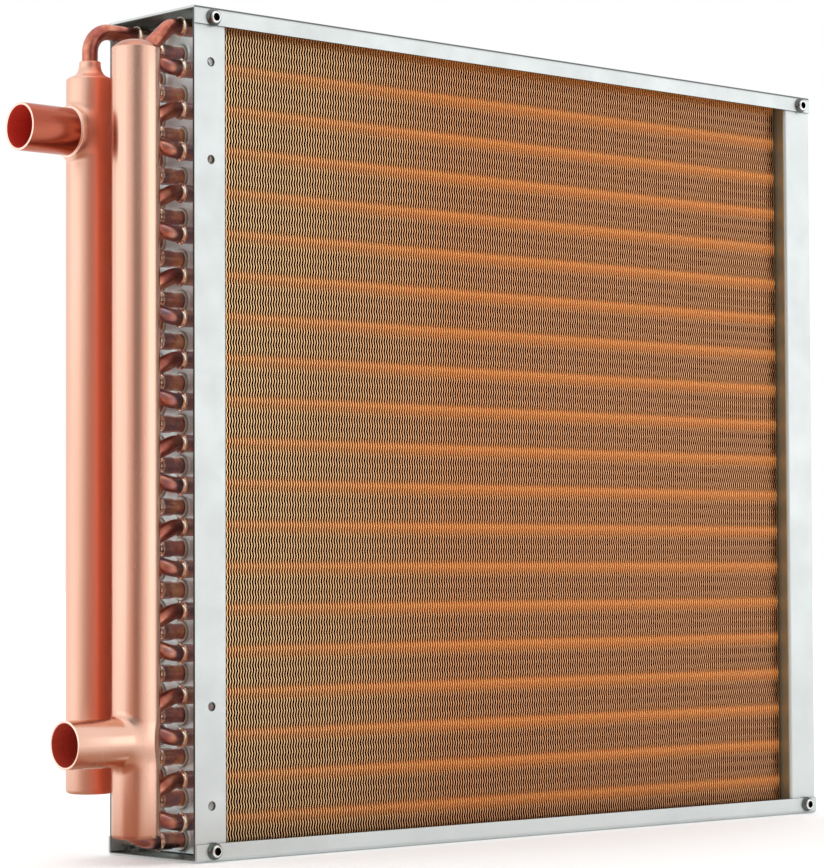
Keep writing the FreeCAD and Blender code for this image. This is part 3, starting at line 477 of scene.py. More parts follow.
def skin(rings, capped=True):
    """Quads between neighbouring rings, and a fan of triangles to a middle point at each end."""
    count, sides, _ = rings.shape
    number = np.arange(count * sides).reshape(count, sides)
    near, far = number[:-1], number[1:]
    quads = np.stack([near, np.roll(near, -1, 1), np.roll(far, -1, 1), far], axis=-1).reshape(-1, 4)
    corners = rings.reshape(-1, 3)
    faces = quads.tolist()
    if capped:
        corners = np.vstack([corners, rings[0].mean(0), rings[-1].mean(0)])
        first, last = count * sides, count * sides + 1
        after = np.roll(np.arange(sides), -1)
        faces += np.stack([np.full(sides, first), number[0][after], number[0]], -1).tolist()
        faces += np.stack([number[-1], number[-1][after], np.full(sides, last)], -1).tolist()
    return corners, faces


def turned(profile, start, way, sides):
    """A profile of reach and radius turned about a line along X, at X = start's X + way x reach."""
    reach, radii = np.array(profile).T
    centres = np.array(start) + reach[:, None] * (way, 0.0, 0.0)
    return skin(rings_along(centres, (way, 0.0, 0.0), (0.0, 0.0, 1.0), radii, sides), capped=False)


def joined(shapes):
    """Several pairs of corners and faces as one pair."""
    corners, faces, start = [], [], 0
    for more_corners, more_faces in shapes:
        corners.append(more_corners)
        faces += [[index + start for index in face] for face in more_faces]
        start += len(more_corners)
    return np.vstack(corners), faces


def new_piece(name, shape, paint, crease=38.0):
    """A smooth mesh object from millimetre corners and faces, creased past an angle, on the root body."""
    corners, faces = shape
    data = bpy.data.meshes.new(name)
    data.from_pydata((corners * MM).tolist(), [], faces)
    data.polygons.foreach_set("use_smooth", np.ones(len(data.polygons), bool))
    data.set_sharp_from_angle(angle=math.radians(crease))
    data.materials.append(paint)
    data.update()
    piece = bpy.data.objects.new(name, data)
    scene.collection.objects.link(piece)
    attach(piece, "root")
    return piece


def collar_rim(tree, x, y, z):
    """White on the collars' rims, where a highlight is painted."""
    return beyond(tree, away(tree, x), WEB_OUTER + 1.45, WEB_OUTER + 1.6)


def collar_wall(tree, x, y, z):
    """White on the collars' upright walls, where shade is painted."""
    return beyond(tree, away(tree, x), WEB_OUTER + 0.35, WEB_OUTER + 0.7)


collar_paint = zinc_paint("collar_zinc", COLLAR_LIGHT, COLLAR_DARK, 0.3, [
    (COLLAR_WALL_SHADE, collar_wall), (COLLAR_RIM_HIGHLIGHT, collar_rim)], metal=0.4)
for side, name in ((-1, "collars_left"), (1, "collars_right")):
    collars = at_all_tubes(COLLAR_SECTION, side * WEB_OUTER, side)
    new_piece(name, collars, collar_paint)


# Fins: 240 thin aluminium sheets with a gold-coloured protective coat, twelve to the inch, every
# one corrugated so that its front edge shows four waves between two tubes. Light and shade are
# painted on the coat: the front edges lighter than the sides, the sides darkest just behind the
# edges, painted light and shade that follow the waves, and a painted orange reflection of the
# copper in the level bands between the tubes, where the coat is less metallic. Towards the headers
# the edges are paler and the bands fade.
FIN_COUNT = 240
FIN_PITCH = 2.1
FIN_THICKNESS = 0.60
FIN_WAVE = 0.42
WAVES_PER_PITCH = 4
STEPS_PER_WAVE = 4
FIN_FOOT = 4.0
FIN_HEIGHT = 500.0
FIN_HALF_DEPTH = 32.475
FIN_PIECES = 4
BAND_RISE = 1.3
WAVE_LAG = 0.35
WAVE_NUMBER = 2 * math.pi * WAVES_PER_PITCH / TUBE_PITCH
DEEP_TONE = (0.56, 0.18, 0.03)
DEEP_BAND_TONE = (1.0, 0.43, 0.07)
EDGE_TONE = (0.79, 0.40, 0.20)
EDGE_BAND_TONE = (1.0, 0.54, 0.19)
EDGE_TONE_BY_HEADERS = (1.0, 0.84, 0.46)
WAVE_SHADE_TONES = [(0.0, (0.34, 0.10, 0.01)), (0.5, (0.62, 0.30, 0.10)), (1.0, (1.0, 0.96, 0.90))]
NEAR_FACE_SHADE = (0.58, 0.19, 0.02)
DEEP_SHADE = (1.0, 0.85, 0.7)
BAND_SHADE = (1.0, 0.92, 0.80)
BAND_FADE_BY_HEADERS = 0.95
BAND_WAVE_LOSS = 0.8
EDGE_WAVE = 0.26
BY_HEADERS = (-60.0, -440.0)
SHADE_DEPTH = 2.0
EDGE_DEPTH = (0.03, 0.01)
FIN_GLOSS = 0.36


def fin_sheets(first, last):
    """Closed thin sheets at X = place + wave x sin(2 pi Z / wavelength), full depth, full height."""
    steps = int(FIN_HEIGHT / TUBE_PITCH * WAVES_PER_PITCH * STEPS_PER_WAVE)
    height = FIN_FOOT + np.linspace(0.0, FIN_HEIGHT, steps + 1)
    wave = FIN_WAVE * np.sin(2 * np.pi * (height - TOP_TUBE) / (TUBE_PITCH / WAVES_PER_PITCH))
    across = 0.5 * FIN_THICKNESS * np.array([1, 1, -1, -1])
    depth = FIN_HALF_DEPTH * np.array([-1, 1, 1, -1])
    sheets = []
    for fin in range(first, last):
        place = (fin - 0.5 * (FIN_COUNT - 1)) * FIN_PITCH
        rings = np.broadcast_arrays(place + wave[:, None] + across, depth, height[:, None])
        sheets.append(skin(np.stack(rings, -1)))
    return joined(sheets)


def banded(tree, between, outside, inside):
    """One colour round the tubes and another in the band between them."""
    return ramp(tree, between, [(0.24, outside), (0.38, inside), (0.58, inside), (0.74, outside)])


fin_paint, tree, shader = new_paint("fin_coat")
x, y, z = place_of(tree)
between = maths(tree, "FRACT", maths(
    tree, "MULTIPLY_ADD", z, 1.0 / TUBE_PITCH, TUBES_IN_ROW + 0.5 - (TOP_TUBE + BAND_RISE) / TUBE_PITCH))
sway = maths(tree, "SINE", maths(tree, "MULTIPLY_ADD", z, WAVE_NUMBER, -WAVE_NUMBER * TOP_TUBE - WAVE_LAG))
# Painted light and shade that follow the waves.
light = ramp(tree, beyond(tree, sway, -1.0, 1.0), WAVE_SHADE_TONES)
inward = maths(tree, "SUBTRACT", FIN_HALF_DEPTH, away(tree, y))
shade = ramp(tree, beyond(tree, inward, 0.0, SHADE_DEPTH), [(0.30, NEAR_FACE_SHADE), (0.56, DEEP_SHADE)])
toward_headers = beyond(tree, x, *BY_HEADERS)
# Bands of painted reflection of the copper tubes between the fins, fading towards the headers.
band = maths(tree, "MULTIPLY",
             ramp(tree, between, greys([(0.24, 0.0), (0.39, 0.85), (0.58, 0.85), (0.74, 0.0)])),
             maths(tree, "MULTIPLY_ADD", toward_headers, -BAND_FADE_BY_HEADERS, 1.0))
deep = laid(tree, banded(tree, between, DEEP_TONE, DEEP_BAND_TONE), laid(tree, shade, BAND_SHADE, band),
            1.0, "MULTIPLY")
evened = laid(tree, light, WHITE, maths(tree, "MULTIPLY", band, BAND_WAVE_LOSS))
deep = laid(tree, deep, evened, 1.0, "MULTIPLY")
# Front edges painted lighter than the sides as painted light, paler towards the headers, and shaded a little
# with the waves.
edge = laid(tree, banded(tree, between, EDGE_TONE, EDGE_BAND_TONE), EDGE_TONE_BY_HEADERS, toward_headers)
edge = laid(tree, edge, light, EDGE_WAVE, "MULTIPLY")
dress(tree, shader, laid(tree, deep, edge, beyond(tree, inward, *EDGE_DEPTH)),
      maths(tree, "MULTIPLY_ADD", band, -1.0, 1.0), FIN_GLOSS)
fins_in_piece = FIN_COUNT // FIN_PIECES
for number in range(FIN_PIECES):
    sheets = fin_sheets(number * fins_in_piece, (number + 1) * fins_in_piece)
    fins = new_piece(f"fins_{number + 1}", sheets, fin_paint)
    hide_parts("fin_pack")


# Hairpin tubes: 3/8 in copper tube bent to a U at the right end, its two free ends belled on the
# left to take a return bend or a stub, each mouth flared to a thin lip with a painted highlight.
TUBE_RADIUS = 4.76
MOUTH = -273.8
TURN_START = 257.8
HALF_PITCH = 0.5 * TUBE_PITCH
HAIRPINS_IN_ROW = TUBES_IN_ROW // 2
ROW_NAMES = ("front", "middle", "rear")
BELL_INSIDE = [(8.9, 4.80), (1.5, 4.82), (0.9, 5.12), (0.15, 5.55), (0.0, 5.72)]
BELL = [
    (0.0, 5.98), (0.15, 5.95), (0.9, 5.55), (1.5, 5.31), (8.7, 5.31), (9.2, 5.24), (10.0, 4.86),
    (10.5, TUBE_RADIUS)]
TUBE_TONES = [(0.38, 0.26, 0.29), (0.58, 0.25, 0.23), (0.76, 0.33, 0.21), (0.88, 0.48, 0.30)]
TARNISH_FROM = 0.34
TARNISH_SPAN = 0.32
SHINE_LOSS = 0.75
TORCH_TINT = (0.28, 0.17, 0.19)
LIP_HIGHLIGHT = (1.0, 0.84, 0.76)


def half_circle(centre, along, outward, radius):
    """Points and directions of a half circle that starts outward from its centre and heads along."""
    angle = np.linspace(0.0, np.pi, 25)[:, None]
    points = np.asarray(centre) + radius * (np.cos(angle) * outward + np.sin(angle) * along)
    ahead = np.cos(angle) * along - np.sin(angle) * outward
    return points, ahead


def hairpin(row, number):
    """One belled mouth, the leg, the half circle, the other leg and mouth, as one closed skin."""
    depth = ROWS[row]
    middle = TOP_TUBE - TUBE_PITCH * (0.5 * (row == 1) + 2 * number + 0.5)
    along, up = np.array([1.0, 0.0, 0.0]), np.array([0.0, 0.0, 1.0])
    reach, radii = np.array(BELL_INSIDE + BELL).T
    upper = reach[:, None] * along + (MOUTH, depth, middle + HALF_PITCH)
    bend, ahead = half_circle((TURN_START, depth, middle), along, up, HALF_PITCH)
    lower = reach[::-1, None] * along + (MOUTH, depth, middle - HALF_PITCH)
    headings = np.vstack([np.tile(along, (len(upper), 1)), ahead, np.tile(-along, (len(lower), 1))])
    radii = np.concatenate([radii, np.full(len(bend), TUBE_RADIUS), radii[::-1]])
    centres = np.vstack([upper, bend, lower])
    return skin(rings_along(centres, headings, (0.0, 1.0, 0.0), radii, TUBE_SIDES))


def copper_paint(name, tones, gloss, scale, stretch=(1.0, 1.0, 1.0), bump=0.00004, tints=(), metal=1.0,
                 dull=None):
    """Bare copper: cloudy tarnish through a list of tones, drawn a little along stretch; tints lie over it.

    Where the mask dull is white, most of the metal's shine is taken away: by an oxide skin in the bores, and
    for a painted reflection on the rear header's side that faces the front header.
    """
    paint, tree, shader = new_paint(name)
    step = TARNISH_SPAN / (len(tones) - 1)
    stops = [(TARNISH_FROM + number * step, tone) for number, tone in enumerate(tones)]
    colour = tinted(tree, ramp(tree, clouds(tree, scale, 4.0, stretch), stops), tints)
    if dull:
        metal = maths(tree, "MULTIPLY_ADD", dull(tree, *place_of(tree)), -SHINE_LOSS, metal)
    dress(tree, shader, colour, metal,
          spread(tree, clouds(tree, scale * 1.6, 3.0, stretch), gloss, gloss + GLOSS_SPAN))
    relief(tree, shader, clouds(tree, scale * 8, 2.0, stretch), bump)
    return paint


def torch_marks(tree, x, y, z):
    """White at the mouths' plane, where brazing has darkened the copper, and gone 9 mm from it."""
    blotches = spread(tree, clouds(tree, 150.0, 3.0), 0.35, 1.0)
    return maths(tree, "MULTIPLY", beyond(tree, away(tree, x, MOUTH + 1.0), 9.0, 2.0), blotches)


def lip_highlight(tree, x, y, z):
    """White on the flared lips, within a millimetre of the mouths' plane, where a highlight is painted."""
    return beyond(tree, away(tree, x, MOUTH + 0.4), 0.75, 0.6)


tube_paint = copper_paint(
    "tube_copper", TUBE_TONES, 0.18, 90.0, tints=[(TORCH_TINT, torch_marks), (LIP_HIGHLIGHT, lip_highlight)])
for row, row_name in enumerate(ROW_NAMES):
    for number in range(HAIRPINS_IN_ROW):
        piece = new_piece(f"tube_{row_name}_{number + 1:02d}", hairpin(row, number), tube_paint)
        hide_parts(f"hairpin_{row_name}_{number + 1:02d}")


# Return bends: half circles of the same tube, brazed into the mouths of two neighbouring rows, so
# that water goes from the front row to the middle one and from there to the rear one. A smooth
# bead of brazing metal closes each mouth.
INSERT_DEPTH = 8.0
BEND_LEAD = 1.0
MOUTH_BEAD = [
    (-1.3, 4.78), (-0.8, 4.95), (-0.35, 5.35), (-0.1, 5.75), (0.15, 6.02), (0.5, 6.12), (0.9, 6.02),
    (1.2, 5.7), (1.3, 5.4)]
MOUTH_BEAD_TONES = [(0.86, 0.56, 0.42), (1.0, 0.82, 0.62), (1.0, 0.90, 0.80)]
BEND_TONES = [
    (0.38, 0.27, 0.31), (0.46, 0.25, 0.26), (0.60, 0.25, 0.21), (0.70, 0.32, 0.21), (0.66, 0.40, 0.38)]


def bent_tube(start, bend, ahead, end, upright=(0.0, 1.0, 0.0), sides=TUBE_SIDES):
    """Thin tube, closed at both ends: straight from start to the bend's points, and straight to end."""
    centres = np.vstack([[start], bend, [end]])
    headings = np.vstack([ahead[:1], ahead, ahead[-1:]])
    return skin(rings_along(centres, headings, upright, np.full(len(centres), TUBE_RADIUS), sides))


def return_bend(row, number):
    """A straight end, a half circle to the left, a straight end; leaning from one row up to the next."""
    rise = TOP_TUBE - TUBE_PITCH * (2 * number + 0.75 + 0.5 * row)
    centre = np.array([MOUTH - BEND_LEAD, ROWS[row] + 0.5 * ROW_PITCH, rise])
    span = np.array([0.0, ROW_PITCH, HALF_PITCH])
    reach = np.linalg.norm(span)
    lean, along = span / reach, np.array([-1.0, 0.0, 0.0])
    bend, ahead = half_circle(centre, along, lean, 0.5 * reach)
    inside = np.array([INSERT_DEPTH + BEND_LEAD, 0.0, 0.0])
    return bent_tube(bend[0] + inside, bend, ahead, bend[-1] + inside, np.cross(along, lean))


mouth_paint = copper_paint("mouth_braze", MOUTH_BEAD_TONES, 0.16, 110.0)
new_piece("mouth_beads", at_all_tubes(MOUTH_BEAD, MOUTH, 1), mouth_paint)
bend_paint = copper_paint("bend_copper", BEND_TONES, 0.26, 90.0, tints=[(TORCH_TINT, torch_marks)])
for row, end in enumerate(("front", "rear")):
    for number in range(HAIRPINS_IN_ROW):
        piece = new_piece(f"bend_{end}_{number + 1:02d}", return_bend(row, number), bend_paint)
        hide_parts(f"return_bend_{end}_{number + 1:02d}")


# Front header: a closed copper tube that stands before the front row and feeds it through ten
# thin stubs, whose ends are brazed into every other tube's mouth; its lower port is a tube of the
# same width, cut to the header's round side.
HEADER_RADIUS = 14.2875
HEADER_BORE = 12.7875
BORE_LEFT_OF = (-14.6, -15.0)
FRONT_HEADER_X = -306.9
FRONT_HEADER_FOOT = 15.2
FRONT_HEADER_TOP = 485.75
FRONT_PORT_HEIGHT = 71.5
FRONT_BRANCH_REACH = 19.5
FOOT_ROUND = 2.6
SPUN_ROUND = 5.2
PORT_REACH = 51.5
STUB_LEAD = 2.5
STUB_BEND = 12.0
STUB_STOP = 6.0
FRONT_SLOPES = [42.0] + [24.0] * (HAIRPINS_IN_ROW - 1)
SADDLE_BEAD = 0.75
SADDLE_SIDES = 8
HEADER_SIDES = 96
RAY_HALVINGS = 40
RAY_LEAST_COSINE = 0.05
RAY_LIMIT = 60.0
RAY_SEARCH = 40.0
SIDE_STEP = 0.55
SIDE_STRETCH = 40
BORE_TINT = (0.62, 0.08, 0.05)
RIM_TINT = (0.95, 0.66, 0.55)
CAP_TINT = (0.50, 0.21, 0.14)
HEADER_TONES = [(0.775, 0.46, 0.345), (0.795, 0.495, 0.385)]
SADDLE_TONES = [(0.62, 0.32, 0.24), (0.85, 0.50, 0.38)]
STUB_TONES = [(0.34, 0.09, 0.075), (0.50, 0.16, 0.11), (0.68, 0.28, 0.18)]
HEADER_CLOUDS = 40.0
HEADER_BUMP = 0.00001
UPRIGHT = (1.0, 1.0, 0.12)
SPUN_TOP = [
    (HEADER_RADIUS, -SPUN_ROUND), (14.17, -4.6), (13.79, -4.05), (13.09, -3.5), (12.0, -2.6), (10.3, -1.5),
    (8.4, -0.6), (6.0, 0.1), (3.0, 0.55), (0.8, 0.65)]
FLAT_FOOT = [
    (HEADER_RADIUS, -FOOT_ROUND), (14.17, -1.8), (13.8, -1.1), (13.2, -0.55), (12.4, -0.15), (11.4, 0.05),
    (8.0, 0.15), (4.0, 0.2), (0.8, 0.2)]


def shell(axis_x, axis_y, outline, height, port_radius, port_reach, softness, opening):
    """An outline turned about an upright axis and run softly into a port that points along -X.

    Every corner lies on a level ray from the axis, where the smooth union of the turned outline
    and the port's cylinder ends: d = min(a, b) - h^2 k / 4 with h = max(k - |a - b|, 0) / k, for
    the distances a and b and the softness k. Halving a stretch of each ray again and again finds
    that place. Rays stop at the plane of port_reach, and the disc that they make there is left
    out within the opening's radius.
    """
    angle = np.linspace(0.0, 2 * np.pi, HEADER_SIDES, endpoint=False)[None, :]
    up = outline[:, 1:2] - height
    base = np.broadcast_to(outline[:, 0:1], (len(outline), HEADER_SIDES))
    cosine, sine = np.cos(angle), np.sin(angle)
    stop = port_reach / np.maximum(cosine, RAY_LEAST_COSINE)
    limit = np.where(cosine > RAY_LEAST_COSINE, stop, RAY_LIMIT)
    low, high = base.copy(), np.maximum(base, RAY_SEARCH)
    for _ in range(RAY_HALVINGS):
        middle = 0.5 * (low + high)
        to_shell = middle - base
        to_port = np.maximum(np.hypot(middle * sine, up) - port_radius, -middle * cosine - 1.0)
        mix = np.maximum(softness - np.abs(to_shell - to_port), 0.0) / softness
        inside = np.minimum(to_shell, to_port) - mix ** 2 * softness / 4 < 0
        low, high = np.where(inside, middle, low), np.where(inside, high, middle)
    reach = np.minimum(low, np.maximum(limit, base))
    level = np.broadcast_to(outline[:, 1:2], reach.shape)
    corners, faces = skin(np.stack([axis_x - reach * cosine, axis_y - reach * sine, level], -1))
    across, rise = corners[:, 1] - axis_y, corners[:, 2] - height
    span = np.hypot(across, rise)
    within = (span < opening) & (corners[:, 0] < axis_x - port_reach + 0.6)
    kept = [face for face in faces if not all(within[index] for index in face)]
    factor = opening / np.maximum(span[within], 1e-6)
    corners[within, 1] = axis_y + across[within] * factor
    corners[within, 2] = height + rise[within] * factor
    return corners, kept


def closed_end(section, height, way):
    """A closed end's half outline from the tube's side to the middle, for a section of radius and rise."""
    return np.array(section) * (1.0, way) + (0.0, height)


def straight_side(foot, top, height, half):
    """A tube's side from foot to top: half a millimetre apart beside its port and sparse elsewhere."""
    near = np.arange(height - half, height + half + 0.01, SIDE_STEP)
    below = np.linspace(foot, near[0], 2 + int((near[0] - foot) / SIDE_STRETCH))[:-1]
    above = np.linspace(near[-1], top, 2 + int((top - near[-1]) / SIDE_STRETCH))[1:]
    heights = np.concatenate([below, near, above])
    return np.stack([np.full(len(heights), HEADER_RADIUS), heights], -1)


def stub_bend(header_y, slope, height):
    """Points and directions of a stub's bend, from level down to the slope in degrees."""
    steps = np.radians(np.linspace(0.0, slope, 9))
    points = np.stack([MOUTH - STUB_LEAD - STUB_BEND * np.sin(steps), np.full(9, header_y),
                       height - STUB_BEND * (1 - np.cos(steps))], -1)
    return points, np.stack([-np.cos(steps), np.zeros(9), -np.sin(steps)], -1)


def stub(header_x, header_y, slope, height):
    """A thin tube from its mouth, straight for a stretch, then bent down by slope to the header's axis."""
    bend, ahead = stub_bend(header_y, slope, height)
    run = (bend[-1, 0] - (header_x + STUB_STOP)) / -ahead[-1, 0]
    return bent_tube((MOUTH + INSERT_DEPTH, header_y, height), bend, ahead, bend[-1] + run * ahead[-1])


def saddle_bead(header_x, header_y, slope, height):
    """A thin ring of brazing metal along the line where a stub's cylinder meets the header's.

    From each point round the stub's end that line is (x - header's x - sqrt(R^2 - y^2)) / cos slope
    further along the stub, and a small circle is carried round it.
    """
    bend, headings = stub_bend(header_y, slope, height)
    ahead, sideways = headings[-1], np.array([0.0, 1.0, 0.0])
    angle = np.linspace(0.0, 2 * np.pi, TUBE_SIDES, endpoint=False)[:, None]
    around = np.cos(angle) * sideways + np.sin(angle) * np.cross(ahead, sideways)
    base = bend[-1] + (TUBE_RADIUS + 0.1) * around
    gap = base[:, 0] - header_x - np.sqrt(HEADER_RADIUS ** 2 - (base[:, 1] - header_y) ** 2)
    ring = base - (gap / ahead[0])[:, None] * ahead
    outward = (ring - (header_x, header_y, 0.0)) * (1.0, 1.0, 0.0)
    outward /= np.linalg.norm(outward, axis=1)[:, None]
    turn = np.linspace(0.0, 2 * np.pi, SADDLE_SIDES, endpoint=False)[None, :, None]
    tube = ring[:, None] + SADDLE_BEAD * (np.cos(turn) * outward[:, None] + np.sin(turn) * around[:, None])
    number = np.arange(TUBE_SIDES * SADDLE_SIDES).reshape(TUBE_SIDES, SADDLE_SIDES)
    after = np.roll(number, -1, 0)
    quads = np.stack([number, after, np.roll(after, -1, 1), np.roll(number, -1, 1)], -1).reshape(-1, 4)
    return tube.reshape(-1, 3), quads.tolist()


def port_bore(header_x, header_y, height):
    """White inside a port: within its bore's radius and left of the header's axis."""
    def mask(tree, x, y, z):
        span = slant(tree, away(tree, y, header_y), away(tree, z, height))
        left = beyond(tree, maths(tree, "SUBTRACT", x, header_x), *BORE_LEFT_OF)
        return maths(tree, "MULTIPLY", left, beyond(tree, span, HEADER_BORE + 0.12, HEADER_BORE + 0.02))
    return mask


def port_rim(header_x):
    """White on the flat end of a port's mouth."""
    def mask(tree, x, y, z):
        return beyond(tree, x, header_x - PORT_REACH + 0.4, header_x - PORT_REACH + 0.2)
    return mask


def darker_cap(tree, x, y, z):
    """White on the front header's spun top, which is laid darker and redder."""
    return beyond(tree, z, FRONT_HEADER_TOP - 5.0, FRONT_HEADER_TOP - 4.0)


front_bore = port_bore(FRONT_HEADER_X, ROWS[0], FRONT_PORT_HEIGHT)
header_paint = copper_paint(
    "header_copper", HEADER_TONES, 0.2, HEADER_CLOUDS, UPRIGHT, HEADER_BUMP, dull=front_bore,
    tints=[(CAP_TINT, darker_cap), (BORE_TINT, front_bore), (RIM_TINT, port_rim(FRONT_HEADER_X))])
bead_paint = copper_paint("braze", SADDLE_TONES, 0.25, 120.0)
stub_paint = copper_paint(
    "stub_copper", STUB_TONES, 0.26, 110.0, bump=0.00003, tints=[(TORCH_TINT, torch_marks)])
front_side = straight_side(
    FRONT_HEADER_FOOT + FOOT_ROUND, FRONT_HEADER_TOP - SPUN_ROUND, FRONT_PORT_HEIGHT, half=21.0)
front_outline = np.vstack([
    closed_end(FLAT_FOOT, FRONT_HEADER_FOOT, -1)[::-1], front_side[1:-1],
    closed_end(SPUN_TOP, FRONT_HEADER_TOP, 1)])
front_header = new_piece("header_front", shell(
    FRONT_HEADER_X, ROWS[0], front_outline, FRONT_PORT_HEIGHT, HEADER_RADIUS - 0.06, FRONT_BRANCH_REACH,
    softness=5.0, opening=HEADER_BORE + 0.7), header_paint)
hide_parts("front_header")
front_joints = list(zip(FRONT_SLOPES, tube_heights(0)[::2]))
front_stubs = new_piece("stubs_front", joined(
    [stub(FRONT_HEADER_X, ROWS[0], slope, height) for slope, height in front_joints]), stub_paint)
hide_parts("front_header")
front_beads = new_piece("braze_front", joined(
    [saddle_bead(FRONT_HEADER_X, ROWS[0], slope, height) for slope, height in front_joints[1:]]), bead_paint)


# Rear header: the same copper tube before the rear row, with nine short stubs, a collar for the
# upper port, and a neck spun down at its top from which a thin tube bends over to the top mouth.
REAR_HEADER_X = -308.5
REAR_HEADER_FOOT = 39.5
REAR_SHOULDER = 467.35
REAR_SLOPE = 3.0
NECK_FOOT = 470.75
NECK_MOUTH = 478.15
NECK_RADIUS = 6.5
TOP_BEND = 14.0
REAR_PORT_HEIGHT = 434.5
COLLAR_RADIUS = 15.7
COLLAR_REACH = 16.2
MIRRORED_COPPER_TINT = (0.92, 0.19, 0.09)
MIRRORING_WAY = (0.74, -0.673)
MIRRORING_FROM = (-1.5, 6.5)

rear_outline = np.vstack([
    closed_end(FLAT_FOOT, REAR_HEADER_FOOT, -1)[::-1],
    straight_side(REAR_HEADER_FOOT + FOOT_ROUND, REAR_SHOULDER - 0.8, REAR_PORT_HEIGHT, half=22.0)[1:],
    [[HEADER_RADIUS - 0.15, REAR_SHOULDER - 0.25], [HEADER_RADIUS - 0.6, REAR_SHOULDER + 0.15],
     [12.6, REAR_SHOULDER + 0.8], [10.6, REAR_SHOULDER + 1.7], [9.0, REAR_SHOULDER + 2.7],
     [7.9, REAR_SHOULDER + 4.0], [7.2, REAR_SHOULDER + 5.4], [6.75, NECK_FOOT + 3.6],
     [NECK_RADIUS, NECK_MOUTH - 2.2], [NECK_RADIUS, NECK_MOUTH - 0.5], [6.3, NECK_MOUTH - 0.1],
     [5.9, NECK_MOUTH], [4.9, NECK_MOUTH - 0.1]]])


def top_tube():
    """From the neck straight up, round a quarter circle towards the coil, and into the top mouth."""
    steps = np.radians(np.linspace(0.0, 90.0, 15))
    bend = np.stack([REAR_HEADER_X + TOP_BEND * (1 - np.cos(steps)), np.full(15, ROWS[2]),
                     TOP_TUBE - TOP_BEND * (1 - np.sin(steps))], -1)
    ahead = np.stack([np.sin(steps), np.zeros(15), np.cos(steps)], -1)
    return bent_tube((REAR_HEADER_X, ROWS[2], NECK_MOUTH - 6.0), bend, ahead,
                     (MOUTH + INSERT_DEPTH, ROWS[2], TOP_TUBE), sides=28)


def mirroring_side(tree, x, y, z):
    """White on the side that faces the coil and the front header, where the front header's copper is painted
    in as a reflection.
    """
    ahead = maths(tree, "MULTIPLY", maths(tree, "SUBTRACT", x, REAR_HEADER_X), MIRRORING_WAY[0])
    across = maths(tree, "SUBTRACT", y, ROWS[2])
    return beyond(tree, maths(tree, "MULTIPLY_ADD", across, MIRRORING_WAY[1], ahead), *MIRRORING_FROM)


# The side that faces the coil and the front header is painted orange-red and less metallic: a painted
# reflection of the front header's copper.
rear_paint = copper_paint(
    "rear_copper", HEADER_TONES, 0.3, HEADER_CLOUDS, UPRIGHT, HEADER_BUMP,
    tints=[(MIRRORED_COPPER_TINT, mirroring_side)], dull=mirroring_side)
rear_header = new_piece("header_rear", shell(
    REAR_HEADER_X, ROWS[2], rear_outline, REAR_PORT_HEIGHT, COLLAR_RADIUS - 0.06, COLLAR_REACH - 0.7,
    softness=4.0, opening=HEADER_BORE + 0.9), rear_paint)
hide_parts("rear_header")
rear_heights = tube_heights(2)[2::2]
rear_stubs = new_piece("stubs_rear", joined(
    [top_tube()] + [stub(REAR_HEADER_X, ROWS[2], REAR_SLOPE, height) for height in rear_heights]), stub_paint)
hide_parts("rear_header")
rear_beads = new_piece("braze_rear", joined(
    [saddle_bead(REAR_HEADER_X, ROWS[2], REAR_SLOPE, height) for height in rear_heights]), bead_paint)


# Ports: two short tubes of 1-1/8 in copper for the water pipes. The lower one's inner end is cut
# to the header's round side and brazed there, and the upper one stands in the rear header's collar.
PORT_SECTION = [
    (0.0, HEADER_RADIUS), (15.0, HEADER_RADIUS), (PORT_REACH - 0.5, HEADER_RADIUS),
    (PORT_REACH - 0.15, HEADER_RADIUS - 0.12), (PORT_REACH, HEADER_RADIUS - 0.45),
    (PORT_REACH, HEADER_BORE + 0.35), (PORT_REACH - 0.15, HEADER_BORE + 0.08),
    (PORT_REACH - 0.5, HEADER_BORE), (22.0, HEADER_BORE), (0.0, HEADER_BORE)]
BORE_SET_IN = 1.4
PORT_SIDES = 64
LYING = (0.15, 1.0, 1.0)
PORT_TONES = [(0.38, 0.09, 0.055), (0.47, 0.135, 0.08)]
REAR_BORE_TINT = (0.74, 0.07, 0.045)


def port(header_x, header_y, height):
    """Outer side, rounded mouth and bore of a tube along -X, its inner end following the header.

    Corners lie at x = header - reach, y = header + r sin a, z = height + r cos a. On the first and
    the last ring the reach is sqrt(R^2 - (r sin a)^2), for the header's radius R, and the last one
    is set in a little from there.
    """
    angle = np.linspace(0.0, 2 * np.pi, PORT_SIDES, endpoint=False)
    reach, radius = np.array(PORT_SECTION).T[:, :, None]
    across, rise = radius * np.sin(angle), radius * np.cos(angle)
    out = np.broadcast_to(reach, across.shape).copy()
    follow = np.sqrt(np.maximum(HEADER_RADIUS ** 2 - across ** 2, 0.0))
    out[0], out[-1] = follow[0], follow[-1] - BORE_SET_IN
    return skin(np.stack([header_x - out, header_y + across, height + rise], -1), capped=False)


front_port = new_piece("port_front", port(FRONT_HEADER_X, ROWS[0], FRONT_PORT_HEIGHT), header_paint)
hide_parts("front_port")
# The upper port is painted darker and redder than the headers, as painted shade, and the oxide red in its
# bore lighter than in the lower port's, as painted light that falls in from the front left.
rear_bore = port_bore(REAR_HEADER_X, ROWS[2], REAR_PORT_HEIGHT)
port_paint = copper_paint(
    "port_copper", PORT_TONES, 0.2, HEADER_CLOUDS, LYING, HEADER_BUMP, dull=rear_bore,
    tints=[(REAR_BORE_TINT, rear_bore), (RIM_TINT, port_rim(REAR_HEADER_X))])
rear_port = new_piece("port_rear", port(REAR_HEADER_X, ROWS[2], REAR_PORT_HEIGHT), port_paint)
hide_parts("rear_port")


